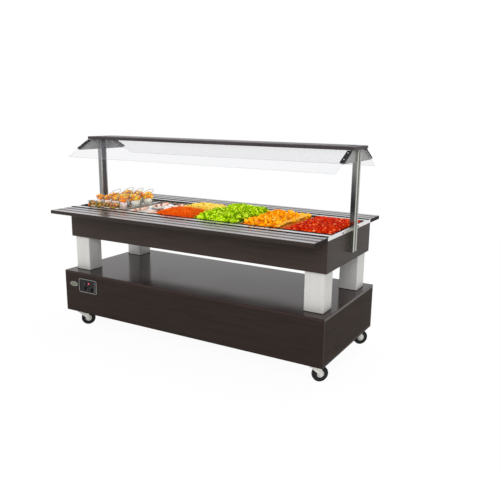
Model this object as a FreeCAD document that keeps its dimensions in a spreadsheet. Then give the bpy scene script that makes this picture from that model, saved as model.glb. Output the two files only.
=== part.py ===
import FreeCAD, Part
import math
import os
import Sketcher

# Food service trolley: a refrigerated buffet bar for six full-size pans. All sizes in millimetres.
# X runs along the trolley, the control panel is towards -X, the front is -Y, +Z is up.
# The origin is on the floor below the middle of the trolley.

doc = FreeCAD.newDocument("food_service_trolley")
sheet = doc.addObject("Spreadsheet::Sheet", "Sizes")

SIZES = {
    "Cutting": {
        "cut_overrun": 1,
    },
    "Castors": {
        "castor_height": 124,
        "wheel_diameter": 100,
        "wheel_width": 28,
        "tyre_thickness": 27,
        "tyre_edge_radius": 6,
        "castor_trail": 38,
        "castor_swivel_angle": 45,
        "castor_inset_length": 30.5,
        "castor_inset_width": 29.5,
        "castor_plate_length": 105,
        "castor_plate_width": 85,
        "castor_plate_thickness": 4,
        "castor_bolt_length": 80,
        "castor_bolt_width": 60,
        "castor_bolt_head": 13,
        "castor_bolt_head_height": 5,
        "race_radius": 28,
        "race_height": 6,
        "race_gap": 0.3,
        "kingpin_radius": 6,
        "kingpin_nut_radius": 10,
        "kingpin_nut_height": 6,
        "crown_thickness": 3,
        "crown_clearance": 4,
        "crown_overhang": 8,
        "fork_race_inset": 2,
        "fork_leg_thickness": 3,
        "fork_side_clearance": 3.5,
        "fork_eye_radius": 12,
        "axle_radius": 5,
        "axle_head_radius": 8,
        "axle_head_height": 3,
        "hub_boss_radius": 12,
        "hub_disc_inset": 5,
        "hub_rim_inset": 1,
        "hub_rim_width": 4,
        "hub_side_clearance": 0.5,
        "running_clearance": 0.05,
    },
    "Base cabinet": {
        "base_overhang_length": 25,
        "base_overhang_width": 62,
        "base_height": 301,
        "panel_thickness": 18,
        "panel_edge": 1.5,
        "vent_length": 190,
        "vent_height": 8,
        "vent_pitch": 22,
        "vent_count": 8,
    },
    "Machinery": {
        "compressor_radius": 78,
        "compressor_height": 150,
        "compressor_foot_height": 16,
        "compressor_foot_radius": 12,
        "compressor_plate_length": 190,
        "compressor_plate_width": 130,
        "compressor_plate_thickness": 4,
        "compressor_dome": 40,
        "compressor_inset": 190,
        "condenser_inset": 460,
        "condenser_rear_gap": 25,
        "condenser_width": 300,
        "condenser_height": 220,
        "condenser_depth": 44,
        "condenser_fin_count": 9,
        "condenser_fin_thickness": 2,
        "condenser_tube_count": 6,
        "condenser_tube_radius": 5,
        "shroud_thickness": 2,
        "shroud_depth": 40,
        "fan_radius": 95,
        "fan_tip_clearance": 6,
        "fan_hub_radius": 22,
        "fan_blade_reach": 93,
        "fan_blade_overlap": 4,
        "fan_blade_width": 38,
        "fan_blade_thickness": 2.5,
        "fan_blade_angle": 28,
        "fan_blade_count": 5,
        "fan_shaft_radius": 4,
        "motor_radius": 34,
        "motor_length": 60,
        "motor_gap": 8,
        "motor_bore_depth": 30,
        "motor_bore_end_gap": 1,
        "motor_bracket_thickness": 4,
        "motor_bracket_width": 70,
        "fan_hub_length": 24,
    },
    "Control panel": {
        "control_length": 172,
        "control_height": 100,
        "control_thickness": 3,
        "control_corner": 12,
        "control_inset": 221,
        "control_drop": 93,
        "rocker_width": 20,
        "rocker_height": 28,
        "rocker_throw_angle": 7,
        "rocker_projection": 5,
        "rocker_depth": 12,
        "rocker_side_gap": 0.3,
        "rocker_end_gap": 0.6,
        "control_cutout_border": 12,
        "rocker_across": 58.5,
        "rocker_down": 35,
        "lamp_radius": 7,
        "lamp_projection": 5,
        "lamp_across": 98,
        "lamp_down": 29,
        "knob_radius": 13,
        "knob_projection": 16,
        "knob_disc_height": 8,
        "knob_grip_width": 7,
        "knob_grip_inset": 1,
        "knob_shaft_radius": 3,
        "knob_gap": 0.3,
        "first_knob_across": 64,
        "first_knob_down": 68,
        "second_knob_across": 124,
        "second_knob_down": 72,
    },
    "Pillars": {
        "pillar_size": 126,
        "pillar_wall": 2.5,
        "pillar_corner": 6,
        "pillar_inset_length": 18,
        "pillar_inset_width": 17.5,
        "shelf_gap": 245,
    },
    "Well": {
        "deck_border_length": 12,
        "deck_border_width": 80,
        "well_height": 191,
        "deck_height": 21,
        "sheet_thickness": 2,
        "deck_opening_end_gap": 5.5,
        "deck_opening_side_gap": 13,
        "ledge_depth": 8,
        "ledge_bearing_length": 9.5,
        "ledge_bearing_width": 10,
        "basin_depth": 152,
        "floor_board_thickness": 12,
        "coil_tube_radius": 5,
        "coil_run_count": 8,
        "coil_side_gap": 45,
        "coil_end_gap": 83,
        "coil_clearance": 0.3,
        "pan_bar_width": 14,
        "pan_bar_height": 20,
    },
    "Trays": {
        "tray_width": 183,
        "tray_thickness": 24,
        "tray_gap": 2,
        "tray_edge": 3,
        "rail_count": 3,
        "rail_width": 39,
        "rail_pitch": 69,
        "rail_height": 1,
        "hinge_inset": 65,
        "hinge_width": 40,
        "hinge_leaf_thickness": 3,
        "hinge_leaf_length": 60,
        "hinge_fixed_leaf_height": 40,
        "hinge_knuckle_radius": 5.5,
        "hinge_pin_radius": 3,
        "hinge_side_gap": 0.5,
        "hinge_offset": 9,
        "hinge_top_gap": 0.5,
    },
    "Canopy": {
        "roof_overhang": 9,
        "roof_width": 240,
        "roof_thickness": 20,
        "roof_edge": 3,
        "roof_clearance": 470,
        "post_depth": 30,
        "post_width": 60,
        "post_wall": 2,
        "post_drop": 146,
        "post_groove_width": 24,
        "post_groove_depth": 6,
        "bracket_thickness": 4,
        "bracket_slant": 133,
        "bracket_lip": 4,
        "bracket_tab_thickness": 2,
        "bracket_tab_width": 30,
        "glass_thickness": 6,
        "glass_slope_angle": 27.5,
        "glass_end_overlap": 2,
        "glass_slant": 243,
        "glass_under_roof": 3,
        "glass_sink": 2,
        "glass_gap": 0.3,
        "clamp_thickness": 4,
        "clamp_start": 6,
    },
    "Pans": {
        "pan_count": 6,
        "pan_length": 325,
        "pan_width": 530,
        "pan_corner": 24,
        "pan_flange": 12,
        "pan_flange_thickness": 2,
        "pan_wall": 1,
        "pan_flange_corner": 14,
        "pan_depth": 65,
        "shallow_pan_depth": 20,
        "pan_taper_angle": 3,
        "pan_gap": 1,
        "seat_gap": 0.3,
        "food_clearance": 0.3,
    },
    "Food": {
        "heap_edge": 8,
        "heap_slope_angle": 50,
        "heap_recess": 12,
        "carrot_rise": 44,
        "corn_rise": 44,
        "lettuce_rise": 62,
        "orange_rise": 50,
        "tomato_rise": 30,
        "cup_end_gap": 6,
        "bowl_count": 4,
        "bowl_foot_radius": 22,
        "bowl_rim_radius": 34,
        "bowl_height": 58,
        "tumbler_count": 4,
        "tumbler_foot_radius": 23,
        "tumbler_rim_radius": 30,
        "tumbler_height": 88,
        "tumbler_front_gap": 23,
        "beaker_count": 3,
        "beaker_foot_radius": 31,
        "beaker_rim_radius": 45,
        "beaker_height": 118,
        "beaker_rear_gap": 42,
        "beaker_row_gap": 55,
        "plate_gap": 9,
        "plate_height": 22,
        "plate_point": 45,
        "skewer_width": 30,
        "skewer_end_gap": 20,
        "skewer_height": 22,
    },
}

row = 1
for heading, cells in SIZES.items():
    sheet.set(f"A{row}", heading)
    row += 1
    for alias, number in cells.items():
        sheet.set(f"A{row}", alias)
        sheet.set(f"B{row}", str(number))
        sheet.setAlias(f"B{row}", alias)
        row += 1
doc.recompute()


def sized(text):
    """Puts the sheet's name before every alias in an expression."""
    words = {alias for cells in SIZES.values() for alias in cells}
    out = ""
    word = ""
    for letter in text + " ":
        if letter.isalnum() or letter == "_":
            word += letter
            continue
        out += ("Sizes." + word if word in words else word) + letter
        word = ""
    return out.strip()


def value(text):
    """The number that an expression of the sheet gives now."""
    number = sheet.evalExpression(sized(text))
    return float(getattr(number, "Value", number))


# Driving lengths and heights, as expressions of the sheet: the pans set the well, the well the rest
PAN_PITCH = "(pan_length + pan_gap)"
PAN_ROW = f"(pan_count * {PAN_PITCH} - pan_gap)"
DECK_OPENING_LENGTH = f"({PAN_ROW} + 2 * deck_opening_end_gap)"
DECK_OPENING_WIDTH = "(pan_width + 2 * deck_opening_side_gap)"
BASIN_LENGTH = f"({PAN_ROW} - 2 * ledge_bearing_length)"
BASIN_WIDTH = "(pan_width - 2 * ledge_bearing_width)"
WELL_LENGTH = f"({DECK_OPENING_LENGTH} + 2 * deck_border_length)"
WELL_WIDTH = f"({DECK_OPENING_WIDTH} + 2 * deck_border_width)"
BASE_LENGTH = f"({WELL_LENGTH} + 2 * base_overhang_length)"
BASE_WIDTH = f"({WELL_WIDTH} + 2 * base_overhang_width)"
BASE_BOTTOM = "castor_height"
BASE_TOP = "(castor_height + base_height)"
WELL_BOTTOM = "(castor_height + base_height + shelf_gap)"
WELL_TOP = "(castor_height + base_height + shelf_gap + well_height)"
DECK_TOP = "(castor_height + base_height + shelf_gap + well_height + deck_height)"
LEDGE_TOP = f"({DECK_TOP} - ledge_depth)"
BASIN_FLOOR = f"({DECK_TOP} - basin_depth)"
ROOF_BOTTOM = f"({DECK_TOP} + roof_clearance)"

NODES = []

# An edge is picked for rounding when it lies within this distance of the face it belongs to
PICK = 1


def keep(shape, label):
    """Marks an object as a sub-part: its label is the name of its file."""
    shape.Label = label
    NODES.append(shape)
    return shape


def move(shape, x="0", y="0", z="0"):
    """Binds a shape's place to the sheet."""
    shape.setExpression("Placement.Base.x", sized(x))
    shape.setExpression("Placement.Base.y", sized(y))
    shape.setExpression("Placement.Base.z", sized(z))
    return shape


def turn(shape, axis, angle):
    """Turns a shape about an axis through its own origin."""
    shape.Placement.Rotation = FreeCAD.Rotation(FreeCAD.Vector(*axis), angle)
    return shape


def swivel(shape):
    """Turns a piece of a castor upright about its own origin, as far as the castors stand turned."""
    turn(shape, (0, 0, 1), value("castor_swivel_angle"))
    shape.setExpression("Placement.Rotation.Angle", sized("castor_swivel_angle"))
    return shape


def box(name, length, width, height, x="0", y="0", z="0"):
    """A block centred on (x, y) that stands on z."""
    block = doc.addObject("Part::Box", name)
    block.setExpression("Length", sized(length))
    block.setExpression("Width", sized(width))
    block.setExpression("Height", sized(height))
    return move(block, f"({x}) - ({length}) / 2", f"({y}) - ({width}) / 2", z)


def cylinder(name, radius, height, x="0", y="0", z="0", axis=None):
    """A cylinder that starts at (x, y, z) and runs along an axis, +Z when none is given."""
    rod = doc.addObject("Part::Cylinder", name)
    rod.setExpression("Radius", sized(radius))
    rod.setExpression("Height", sized(height))
    if axis == "X":
        turn(rod, (0, 1, 0), 90)
    if axis == "Y":
        turn(rod, (1, 0, 0), -90)
    return move(rod, x, y, z)


def fuse(name, shapes):
    union = doc.addObject("Part::MultiFuse", name)
    union.Shapes = shapes
    union.Refine = True
    return union


def cut(name, base, tool):
    rest = doc.addObject("Part::Cut", name)
    rest.Base = base
    rest.Tool = tool
    return rest


def group(name, shapes):
    """Several separate solids of one kind, kept as one sub-part."""
    several = doc.addObject("Part::Compound", name)
    several.Links = shapes
    return several


def sketch_in(body, name, plane, height="0"):
    """A sketch on one of its own body's origin planes, raised by an expression."""
    outline = body.newObject("Sketcher::SketchObject", name)
    planes = {feature.Role: feature for feature in body.Origin.OriginFeatures}
    outline.AttachmentSupport = [(planes[plane], "")]
    outline.MapMode = "FlatFace"
    outline.setExpression("AttachmentOffset.Base.z", sized(height))
    return outline


def pin_point(outline, edge, corner, across, up):
    """Ties the start point of an edge to two expressions."""
    for kind, size in (("DistanceX", across), ("DistanceY", up)):
        index = outline.addConstraint(Sketcher.Constraint(kind, -1, 1, edge, 1, value(size)))
        name = f"corner_{corner}_{kind[-1]}"
        outline.renameConstraint(index, name)
        outline.setExpression(f"Constraints.{name}", sized(size))


def draw_polygon(outline, corners):
    """A closed outline of straight edges through corners given as pairs of expressions."""
    points = [FreeCAD.Vector(value(across), value(up), 0) for across, up in corners]
    first = outline.GeometryCount
    for start, end in zip(points, points[1:] + points[:1]):
        outline.addGeometry(Part.LineSegment(start, end))
    for number, (across, up) in enumerate(corners):
        after = first + (number + 1) % len(corners)
        outline.addConstraint(Sketcher.Constraint("Coincident", first + number, 2, after, 1))
        pin_point(outline, first + number, first + number, across, up)
    return outline


def draw_round_rectangle(outline, length, width, radius):
    """A rectangle centred on the origin with quarter-circle corners."""
    half_length = value(length) / 2
    half_width = value(width) / 2
    corner = value(radius)
    flat_x = half_length - corner
    flat_y = half_width - corner
    lines = [
        ((-flat_x, -half_width), (flat_x, -half_width)),
        ((half_length, -flat_y), (half_length, flat_y)),
        ((flat_x, half_width), (-flat_x, half_width)),
        ((-half_length, flat_y), (-half_length, -flat_y)),
    ]
    centres = [(flat_x, -flat_y), (flat_x, flat_y), (-flat_x, flat_y), (-flat_x, -flat_y)]
    first = outline.GeometryCount
    for number in range(4):
        start, end = lines[number]
        outline.addGeometry(Part.LineSegment(FreeCAD.Vector(*start, 0), FreeCAD.Vector(*end, 0)))
        ring = Part.Circle(FreeCAD.Vector(*centres[number], 0), FreeCAD.Vector(0, 0, 1), corner)
        begin = math.radians(-90 + 90 * number)
        outline.addGeometry(Part.ArcOfCircle(ring, begin, begin + math.pi / 2))
    for number in range(4):
        line = first + 2 * number
        arc = line + 1
        after = first + (2 * number + 2) % 8
        outline.addConstraint(Sketcher.Constraint("Tangent", line, 2, arc, 1))
        outline.addConstraint(Sketcher.Constraint("Tangent", arc, 2, after, 1))
        outline.addConstraint(
            Sketcher.Constraint("Horizontal" if number % 2 == 0 else "Vertical", line))
        if number:
            outline.addConstraint(Sketcher.Constraint("Equal", first + 1, arc))
    outline.addConstraint(Sketcher.Constraint("Symmetric", first + 1, 3, first + 5, 3, -1, 1))
    sizes = [
        ("round_length", Sketcher.Constraint("DistanceX", first + 6, 1, first + 2, 1, 2 * half_length),
         length),
        ("round_width", Sketcher.Constraint("DistanceY", first, 1, first + 4, 1, 2 * half_width),
         width),
        ("round_radius", Sketcher.Constraint("Radius", first + 1, corner), radius),
    ]
    for name, constraint, size in sizes:
        index = outline.addConstraint(constraint)
        outline.renameConstraint(index, f"{name}_{first}")
        outline.setExpression(f"Constraints.{name}_{first}", sized(size))
    return outline


def pad(body, outline, length, middle=False, reverse=False, taper="0"):
    feature = body.newObject("PartDesign::Pad", outline.Name + "_pad")
    feature.Profile = outline
    feature.Reversed = reverse
    feature.Midplane = middle
    feature.setExpression("Length", sized(length))
    feature.setExpression("TaperAngle", sized(taper))
    outline.Visibility = False
    return feature


def pocket(body, outline, length, middle=False, reverse=False, taper="0"):
    feature = body.newObject("PartDesign::Pocket", outline.Name + "_pocket")
    feature.Profile = outline
    feature.Reversed = reverse
    feature.Midplane = middle
    feature.setExpression("Length", sized(length))
    feature.setExpression("TaperAngle", sized(taper))
    return feature


def revolve(body, outline):
    feature = body.newObject("PartDesign::Revolution", outline.Name + "_turned")
    feature.Profile = outline
    feature.ReferenceAxis = (outline, ["V_Axis"])
    feature.Angle = 360
    return feature


def new_body(name):
    return doc.addObject("PartDesign::Body", name)


def edges_where(feature, test):
    """Names of a feature's edges whose middle point passes a test."""
    names = []
    for number, edge in enumerate(feature.Shape.Edges, 1):
        middle = edge.valueAt((edge.FirstParameter + edge.LastParameter) / 2)
        if test(middle):
            names.append(f"Edge{number}")
    return names


def fillet(body, feature, radius, test=lambda middle: True):
    doc.recompute()
    round_off = body.newObject("PartDesign::Fillet", feature.Name + "_rounded")
    round_off.Base = (feature, edges_where(feature, test))
    round_off.setExpression("Radius", sized(radius))
    return round_off


def profile(name, plane, corners, length, x="0", y="0", z="0"):
    """A body with a straight-edged section, padded the same way to both sides of its plane."""
    body = new_body(name)
    pad(body, draw_polygon(sketch_in(body, name + "_section", plane), corners), length, middle=True)
    return move(body, x, y, z)


def board(name, length, width, height, x="0", y="0", z="0", edge="panel_edge"):
    """A laminate board with eased edges, centred on (x, y) and standing on z."""
    body = new_body(name)
    corners = [(f"0 - ({length}) / 2", f"0 - ({width}) / 2"), (f"({length}) / 2", f"0 - ({width}) / 2"),
               (f"({length}) / 2", f"({width}) / 2"), (f"0 - ({length}) / 2", f"({width}) / 2")]
    slab = pad(body, draw_polygon(sketch_in(body, name + "_outline", "XY_Plane"), corners), height)
    fillet(body, slab, edge)
    return move(body, x, y, z)


# Castors: a plate with its race and kingpin, a trailing fork with the axle, a hub and a tyre
AXLE_HEIGHT = "(wheel_diameter / 2)"
CROWN_BOTTOM = "(wheel_diameter + crown_clearance)"
CROWN_TOP = f"({CROWN_BOTTOM} + crown_thickness)"
CROWN_REACH = "(race_radius + crown_overhang)"
PLATE_BOTTOM = "(castor_height - castor_plate_thickness)"
RACE_BOTTOM = f"({PLATE_BOTTOM} - race_height)"
LEG_INSIDE = "(wheel_width / 2 + fork_side_clearance)"
LEG_OUTSIDE = f"({LEG_INSIDE} + fork_leg_thickness)"
HUB_RADIUS = "(wheel_diameter / 2 - tyre_thickness)"


def castor_plate(name, x, y):
    pieces = [
        box(name + "_plate", "castor_plate_length", "castor_plate_width", "castor_plate_thickness",
            x, y, PLATE_BOTTOM),
        cylinder(name + "_race", "race_radius", "race_height", x, y, RACE_BOTTOM),
        cylinder(name + "_kingpin", "kingpin_radius", f"{PLATE_BOTTOM} - {CROWN_BOTTOM} + race_gap",
                 x, y, f"{CROWN_BOTTOM} - race_gap"),
        cylinder(name + "_nut", "kingpin_nut_radius", "kingpin_nut_height",
                 x, y, f"{CROWN_BOTTOM} - race_gap - kingpin_nut_height"),
    ]
    for side_x in (-1, 1):
        for side_y in (-1, 1):
            head = doc.addObject("Part::Prism", f"{name}_bolt")
            head.Polygon = 6
            head.setExpression("Circumradius", sized("castor_bolt_head / 2 / cos(30)"))
            head.setExpression("Height", sized("castor_bolt_head_height"))
            move(head, f"({x}) + {side_x} * castor_bolt_length / 2",
                 f"({y}) + {side_y} * castor_bolt_width / 2", f"{PLATE_BOTTOM} - castor_bolt_head_height")
            pieces.append(head)
    return fuse(name, pieces)


def castor_fork(name, x, y):
    leg = [(f"0 - {CROWN_REACH}", CROWN_TOP), (CROWN_REACH, CROWN_TOP),
           ("castor_trail + fork_eye_radius", AXLE_HEIGHT), ("castor_trail - fork_eye_radius", AXLE_HEIGHT)]
    pieces = [
        box(name + "_crown", f"2 * {CROWN_REACH}", f"2 * {LEG_OUTSIDE}", "crown_thickness",
            "0", "0", CROWN_BOTTOM),
        cylinder(name + "_race", "race_radius - fork_race_inset",
                 f"{RACE_BOTTOM} - race_gap - {CROWN_TOP}",
                 "0", "0", CROWN_TOP),
        cylinder(name + "_axle", "axle_radius", f"2 * {LEG_OUTSIDE}",
                 "castor_trail", f"0 - {LEG_OUTSIDE}", AXLE_HEIGHT, "Y"),
    ]
    for side in (-1, 1):
        middle = f"{side} * ({LEG_INSIDE} + fork_leg_thickness / 2)"
        pieces.append(profile(f"{name}_leg", "XZ_Plane", leg, "fork_leg_thickness", "0", middle))
        start = f"{middle} - fork_leg_thickness / 2"
        pieces.append(cylinder(name + "_eye", "fork_eye_radius", "fork_leg_thickness",
                               "castor_trail", start, AXLE_HEIGHT, "Y"))
        head = f"{LEG_OUTSIDE}" if side > 0 else f"0 - {LEG_OUTSIDE} - axle_head_height"
        pieces.append(cylinder(name + "_axle_head", "axle_head_radius", "axle_head_height",
                               "castor_trail", head, AXLE_HEIGHT, "Y"))
    bore = cylinder(name + "_bore", "kingpin_radius + running_clearance",
                    f"{PLATE_BOTTOM} - {CROWN_BOTTOM} + cut_overrun",
                    "0", "0", f"{CROWN_BOTTOM} - cut_overrun")
    return swivel(move(cut(name, fuse(name + "_steel", pieces), bore), x, y))


def turned(name, corners, x, y, z):
    """A body turned about an axis along Y, from corners given as radius and distance along it."""
    body = new_body(name)
    revolve(body, draw_polygon(sketch_in(body, name + "_section", "XY_Plane"), corners))
    return move(body, x, y, z)


def castor_hub(name, x, y):
    boss = f"({LEG_INSIDE} - hub_side_clearance)"
    disc = "(wheel_width / 2 - hub_disc_inset)"
    rim = "(wheel_width / 2 - hub_rim_inset)"
    bore = "axle_radius + running_clearance"
    lip = f"{HUB_RADIUS} - hub_rim_width"
    half = [(bore, boss), ("hub_boss_radius", boss), ("hub_boss_radius", disc), (lip, disc),
            (lip, rim), (HUB_RADIUS, rim)]
    other = [(radius, f"0 - {along}") for radius, along in reversed(half)]
    return swivel(turned(name, half + other, x, y, AXLE_HEIGHT))


def castor_tyre(name, x, y):
    corners = [(HUB_RADIUS, "0 - wheel_width / 2"), ("wheel_diameter / 2", "0 - wheel_width / 2"),
               ("wheel_diameter / 2", "wheel_width / 2"), (HUB_RADIUS, "wheel_width / 2")]
    body = turned(name, corners, x, y, AXLE_HEIGHT)
    limit = value(HUB_RADIUS) + PICK
    fillet(body, body.Tip, "tyre_edge_radius", lambda middle: math.hypot(middle.x, middle.z) > limit)
    return swivel(body)


CASTOR_SPACING_LENGTH = f"({BASE_LENGTH} - 2 * castor_inset_length - castor_plate_length)"
CASTOR_SPACING_WIDTH = f"({BASE_WIDTH} - 2 * castor_inset_width - castor_plate_width)"
CORNERS = {
    "front_left": (-1, -1),
    "front_right": (1, -1),
    "rear_left": (-1, 1),
    "rear_right": (1, 1),
}

plates = []
for corner, (side_x, side_y) in CORNERS.items():
    castor_x = f"{side_x} * {CASTOR_SPACING_LENGTH} / 2"
    castor_y = f"{side_y} * {CASTOR_SPACING_WIDTH} / 2"
    wheel_x = f"{castor_x} + castor_trail * cos(castor_swivel_angle)"
    wheel_y = f"{castor_y} + castor_trail * sin(castor_swivel_angle)"
    plates.append(castor_plate(f"castor_plate_{corner}", castor_x, castor_y))
    keep(castor_fork(f"fork_{corner}", castor_x, castor_y), f"castor_fork_{corner}")
    keep(castor_hub(f"hub_{corner}", wheel_x, wheel_y), f"castor_hub_{corner}")
    keep(castor_tyre(f"tyre_{corner}", wheel_x, wheel_y), f"castor_tyre_{corner}")
keep(group("plates", plates), "castor_plates")


# Base cabinet: six laminate boards, with air slots in the rear one and a cut-out for the controls
INNER_HEIGHT = "(base_height - 2 * panel_thickness)"
INNER_BOTTOM = "(castor_height + panel_thickness)"
CONTROL_HEIGHT = f"({BASE_TOP} - control_drop)"
CONTROL_MIDDLE = f"(control_inset - {BASE_LENGTH} / 2)"
CONDENSER_MIDDLE = f"(condenser_inset - {BASE_LENGTH} / 2)"

keep(board("base_top", BASE_LENGTH, BASE_WIDTH, "panel_thickness",
           z=f"{BASE_TOP} - panel_thickness"), "base_top_panel")
keep(board("base_floor", BASE_LENGTH, BASE_WIDTH, "panel_thickness",
           z=BASE_BOTTOM), "base_floor_panel")

front_board = board("base_front", BASE_LENGTH, "panel_thickness", INNER_HEIGHT,
                    y=f"0 - {BASE_WIDTH} / 2 + panel_thickness / 2", z=INNER_BOTTOM)
cutout = box("control_cutout", "control_length - 2 * control_cutout_border", "3 * panel_thickness",
             "control_height - 2 * control_cutout_border", CONTROL_MIDDLE, f"0 - {BASE_WIDTH} / 2",
             f"{CONTROL_HEIGHT} - control_height / 2 + control_cutout_border")
keep(cut("base_front_cut", front_board, cutout), "base_front_panel")

rear_board = board("base_rear", BASE_LENGTH, "panel_thickness", INNER_HEIGHT,
                   y=f"{BASE_WIDTH} / 2 - panel_thickness / 2", z=INNER_BOTTOM)
slot_left = f"{CONDENSER_MIDDLE} - vent_length / 2"
slot_right = f"{CONDENSER_MIDDLE} + vent_length / 2"
slot_bottom = f"{INNER_HEIGHT} / 2 - (vent_count - 1) * vent_pitch / 2 - vent_height / 2"
slot_top = f"{slot_bottom} + vent_height"
slot = sketch_in(rear_board, "vent_slot", "XZ_Plane")
draw_polygon(slot, [(slot_left, slot_bottom), (slot_right, slot_bottom),
                    (slot_right, slot_top), (slot_left, slot_top)])
first_slot = pocket(rear_board, slot, "3 * panel_thickness", middle=True)
slots = rear_board.newObject("PartDesign::LinearPattern", "vent_slots")
slots.Originals = [first_slot]
axes = {feature.Role: feature for feature in rear_board.Origin.OriginFeatures}
slots.Direction = (axes["Z_Axis"], [""])
slots.setExpression("Length", sized("(vent_count - 1) * vent_pitch"))
slots.setExpression("Occurrences", sized("vent_count"))
rear_board.Tip = slots
keep(rear_board, "base_rear_panel")

ends = [board(f"base_end_{side}", "panel_thickness", f"{BASE_WIDTH} - 2 * panel_thickness",
              INNER_HEIGHT, x=f"{side} * ({BASE_LENGTH} - panel_thickness) / 2", z=INNER_BOTTOM)
        for side in (-1, 1)]
keep(group("base_ends", ends), "base_end_panels")


# Refrigeration machinery on the base floor: compressor, condenser with shroud and motor, fan
def compressor():
    foot_top = f"{INNER_BOTTOM} + compressor_foot_height"
    plate_top = f"{foot_top} + compressor_plate_thickness"
    x = f"(compressor_inset - {BASE_LENGTH} / 2)"
    pieces = [box("compressor_plate", "compressor_plate_length", "compressor_plate_width",
                  "compressor_plate_thickness", x, "0", foot_top)]
    for side_x in (-1, 1):
        for side_y in (-1, 1):
            pieces.append(cylinder(
                "compressor_foot", "compressor_foot_radius", "compressor_foot_height",
                f"{x} + {side_x} * (compressor_plate_length / 2 - compressor_foot_radius)",
                f"{side_y} * (compressor_plate_width / 2 - compressor_foot_radius)", INNER_BOTTOM))
    dome = new_body("compressor_dome")
    outline = draw_polygon(sketch_in(dome, "dome_section", "XZ_Plane"), [
        ("0", "0"), ("compressor_radius", "0"), ("compressor_radius", "compressor_height"),
        ("0", "compressor_height")])
    shell = revolve(dome, outline)
    doc.recompute()
    top = value("compressor_height") - PICK
    fillet(dome, shell, "compressor_dome", lambda middle: middle.z > top)
    move(dome, x, "0", plate_top)
    return group("compressor_pieces", pieces + [dome])


FAN_HEIGHT = f"({INNER_BOTTOM} + condenser_height / 2)"
COIL_FRONT = f"({BASE_WIDTH} / 2 - panel_thickness - condenser_rear_gap - condenser_depth)"
FAN_PLANE = f"({COIL_FRONT} - shroud_depth)"
MOTOR_REAR = f"({FAN_PLANE} - fan_hub_length / 2 - motor_gap)"


def condenser():
    x = CONDENSER_MIDDLE
    coil = []
    middle_y = f"{COIL_FRONT} + condenser_depth / 2"
    for number in range(int(value("condenser_fin_count"))):
        share = f"({number} / (condenser_fin_count - 1) - 0.5)"
        coil.append(box("fin", "condenser_fin_thickness", "condenser_depth", "condenser_height",
                        f"{x} + {share} * (condenser_width - condenser_fin_thickness)",
                        middle_y, INNER_BOTTOM))
    for number in range(int(value("condenser_tube_count"))):
        height = f"{INNER_BOTTOM} + ({number} + 0.5) / condenser_tube_count * condenser_height"
        coil.append(cylinder("tube", "condenser_tube_radius", "condenser_width",
                             f"{x} - condenser_width / 2", middle_y, height, "X"))
    outside = box("shroud_outside", "condenser_width", "shroud_depth", "condenser_height",
                  x, f"{COIL_FRONT} - shroud_depth / 2", INNER_BOTTOM)
    inside = box("shroud_inside", "condenser_width - 2 * shroud_thickness", "shroud_depth",
                 "condenser_height - 2 * shroud_thickness", x,
                 f"{COIL_FRONT} - shroud_depth / 2 + shroud_thickness", f"{INNER_BOTTOM} + shroud_thickness")
    mouth = cylinder("shroud_mouth", "fan_radius + fan_tip_clearance", "shroud_depth",
                     x, f"{FAN_PLANE} - shroud_depth / 2", FAN_HEIGHT, "Y")
    shroud = cut("shroud", outside, fuse("shroud_hollow", [inside, mouth]))
    motor = fuse("motor", [
        cylinder("motor_can", "motor_radius", "motor_length", x, f"{MOTOR_REAR} - motor_length",
                 FAN_HEIGHT, "Y"),
        box("motor_bracket", "motor_bracket_width", "motor_bracket_thickness", "condenser_height / 2",
            x, f"{MOTOR_REAR} - motor_length / 2", INNER_BOTTOM)])
    bore = cylinder("motor_bore", "fan_shaft_radius + running_clearance", "motor_bore_depth + cut_overrun",
                    x, f"{MOTOR_REAR} - motor_bore_depth", FAN_HEIGHT, "Y")
    return group("condenser_pieces", [fuse("coil", coil), shroud, cut("bored_motor", motor, bore)])


def condenser_fan():
    body = new_body("fan")
    shaft_end = "fan_hub_length / 2 + motor_gap + motor_bore_depth - motor_bore_end_gap"
    section = draw_polygon(sketch_in(body, "fan_hub", "XY_Plane"), [
        ("0", f"0 - ({shaft_end})"), ("fan_shaft_radius", f"0 - ({shaft_end})"),
        ("fan_shaft_radius", "0 - fan_hub_length / 2"), ("fan_hub_radius", "0 - fan_hub_length / 2"),
        ("fan_hub_radius", "fan_hub_length / 2"), ("0", "fan_hub_length / 2")])
    revolve(body, section)
    blade = sketch_in(body, "fan_blade", "XY_Plane")
    blade.AttachmentOffset = FreeCAD.Placement(
        FreeCAD.Vector(), FreeCAD.Rotation(FreeCAD.Vector(1, 0, 0), value("fan_blade_angle")))
    blade.setExpression("AttachmentOffset.Rotation.Angle", sized("fan_blade_angle"))
    root = "fan_hub_radius - fan_blade_overlap"
    draw_polygon(blade, [(root, "0 - fan_blade_width / 2"), ("fan_blade_reach", "0 - fan_blade_width / 2"),
                         ("fan_blade_reach", "fan_blade_width / 2"), (root, "fan_blade_width / 2")])
    first = pad(body, blade, "fan_blade_thickness", middle=True)
    ring = body.newObject("PartDesign::PolarPattern", "fan_blades")
    ring.Originals = [first]
    axis = {feature.Role: feature for feature in body.Origin.OriginFeatures}
    ring.Axis = (axis["Y_Axis"], [""])
    ring.Angle = 360
    ring.setExpression("Occurrences", sized("fan_blade_count"))
    body.Tip = ring
    return move(body, CONDENSER_MIDDLE, FAN_PLANE, FAN_HEIGHT)


keep(compressor(), "compressor")
keep(condenser(), "condenser")
keep(condenser_fan(), "condenser_fan")


# Control panel on the base front: plate, rocker switch, two knobs and a pilot lamp
PLATE_FRONT = f"(0 - {BASE_WIDTH} / 2 - control_thickness)"


def control_x(across):
    """A place on the plate, measured from its left edge."""
    return f"{CONTROL_MIDDLE} - control_length / 2 + {across}"


def control_z(down):
    """A place on the plate, measured down from its top edge."""
    return f"{CONTROL_HEIGHT} + control_height / 2 - {down}"


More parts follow.
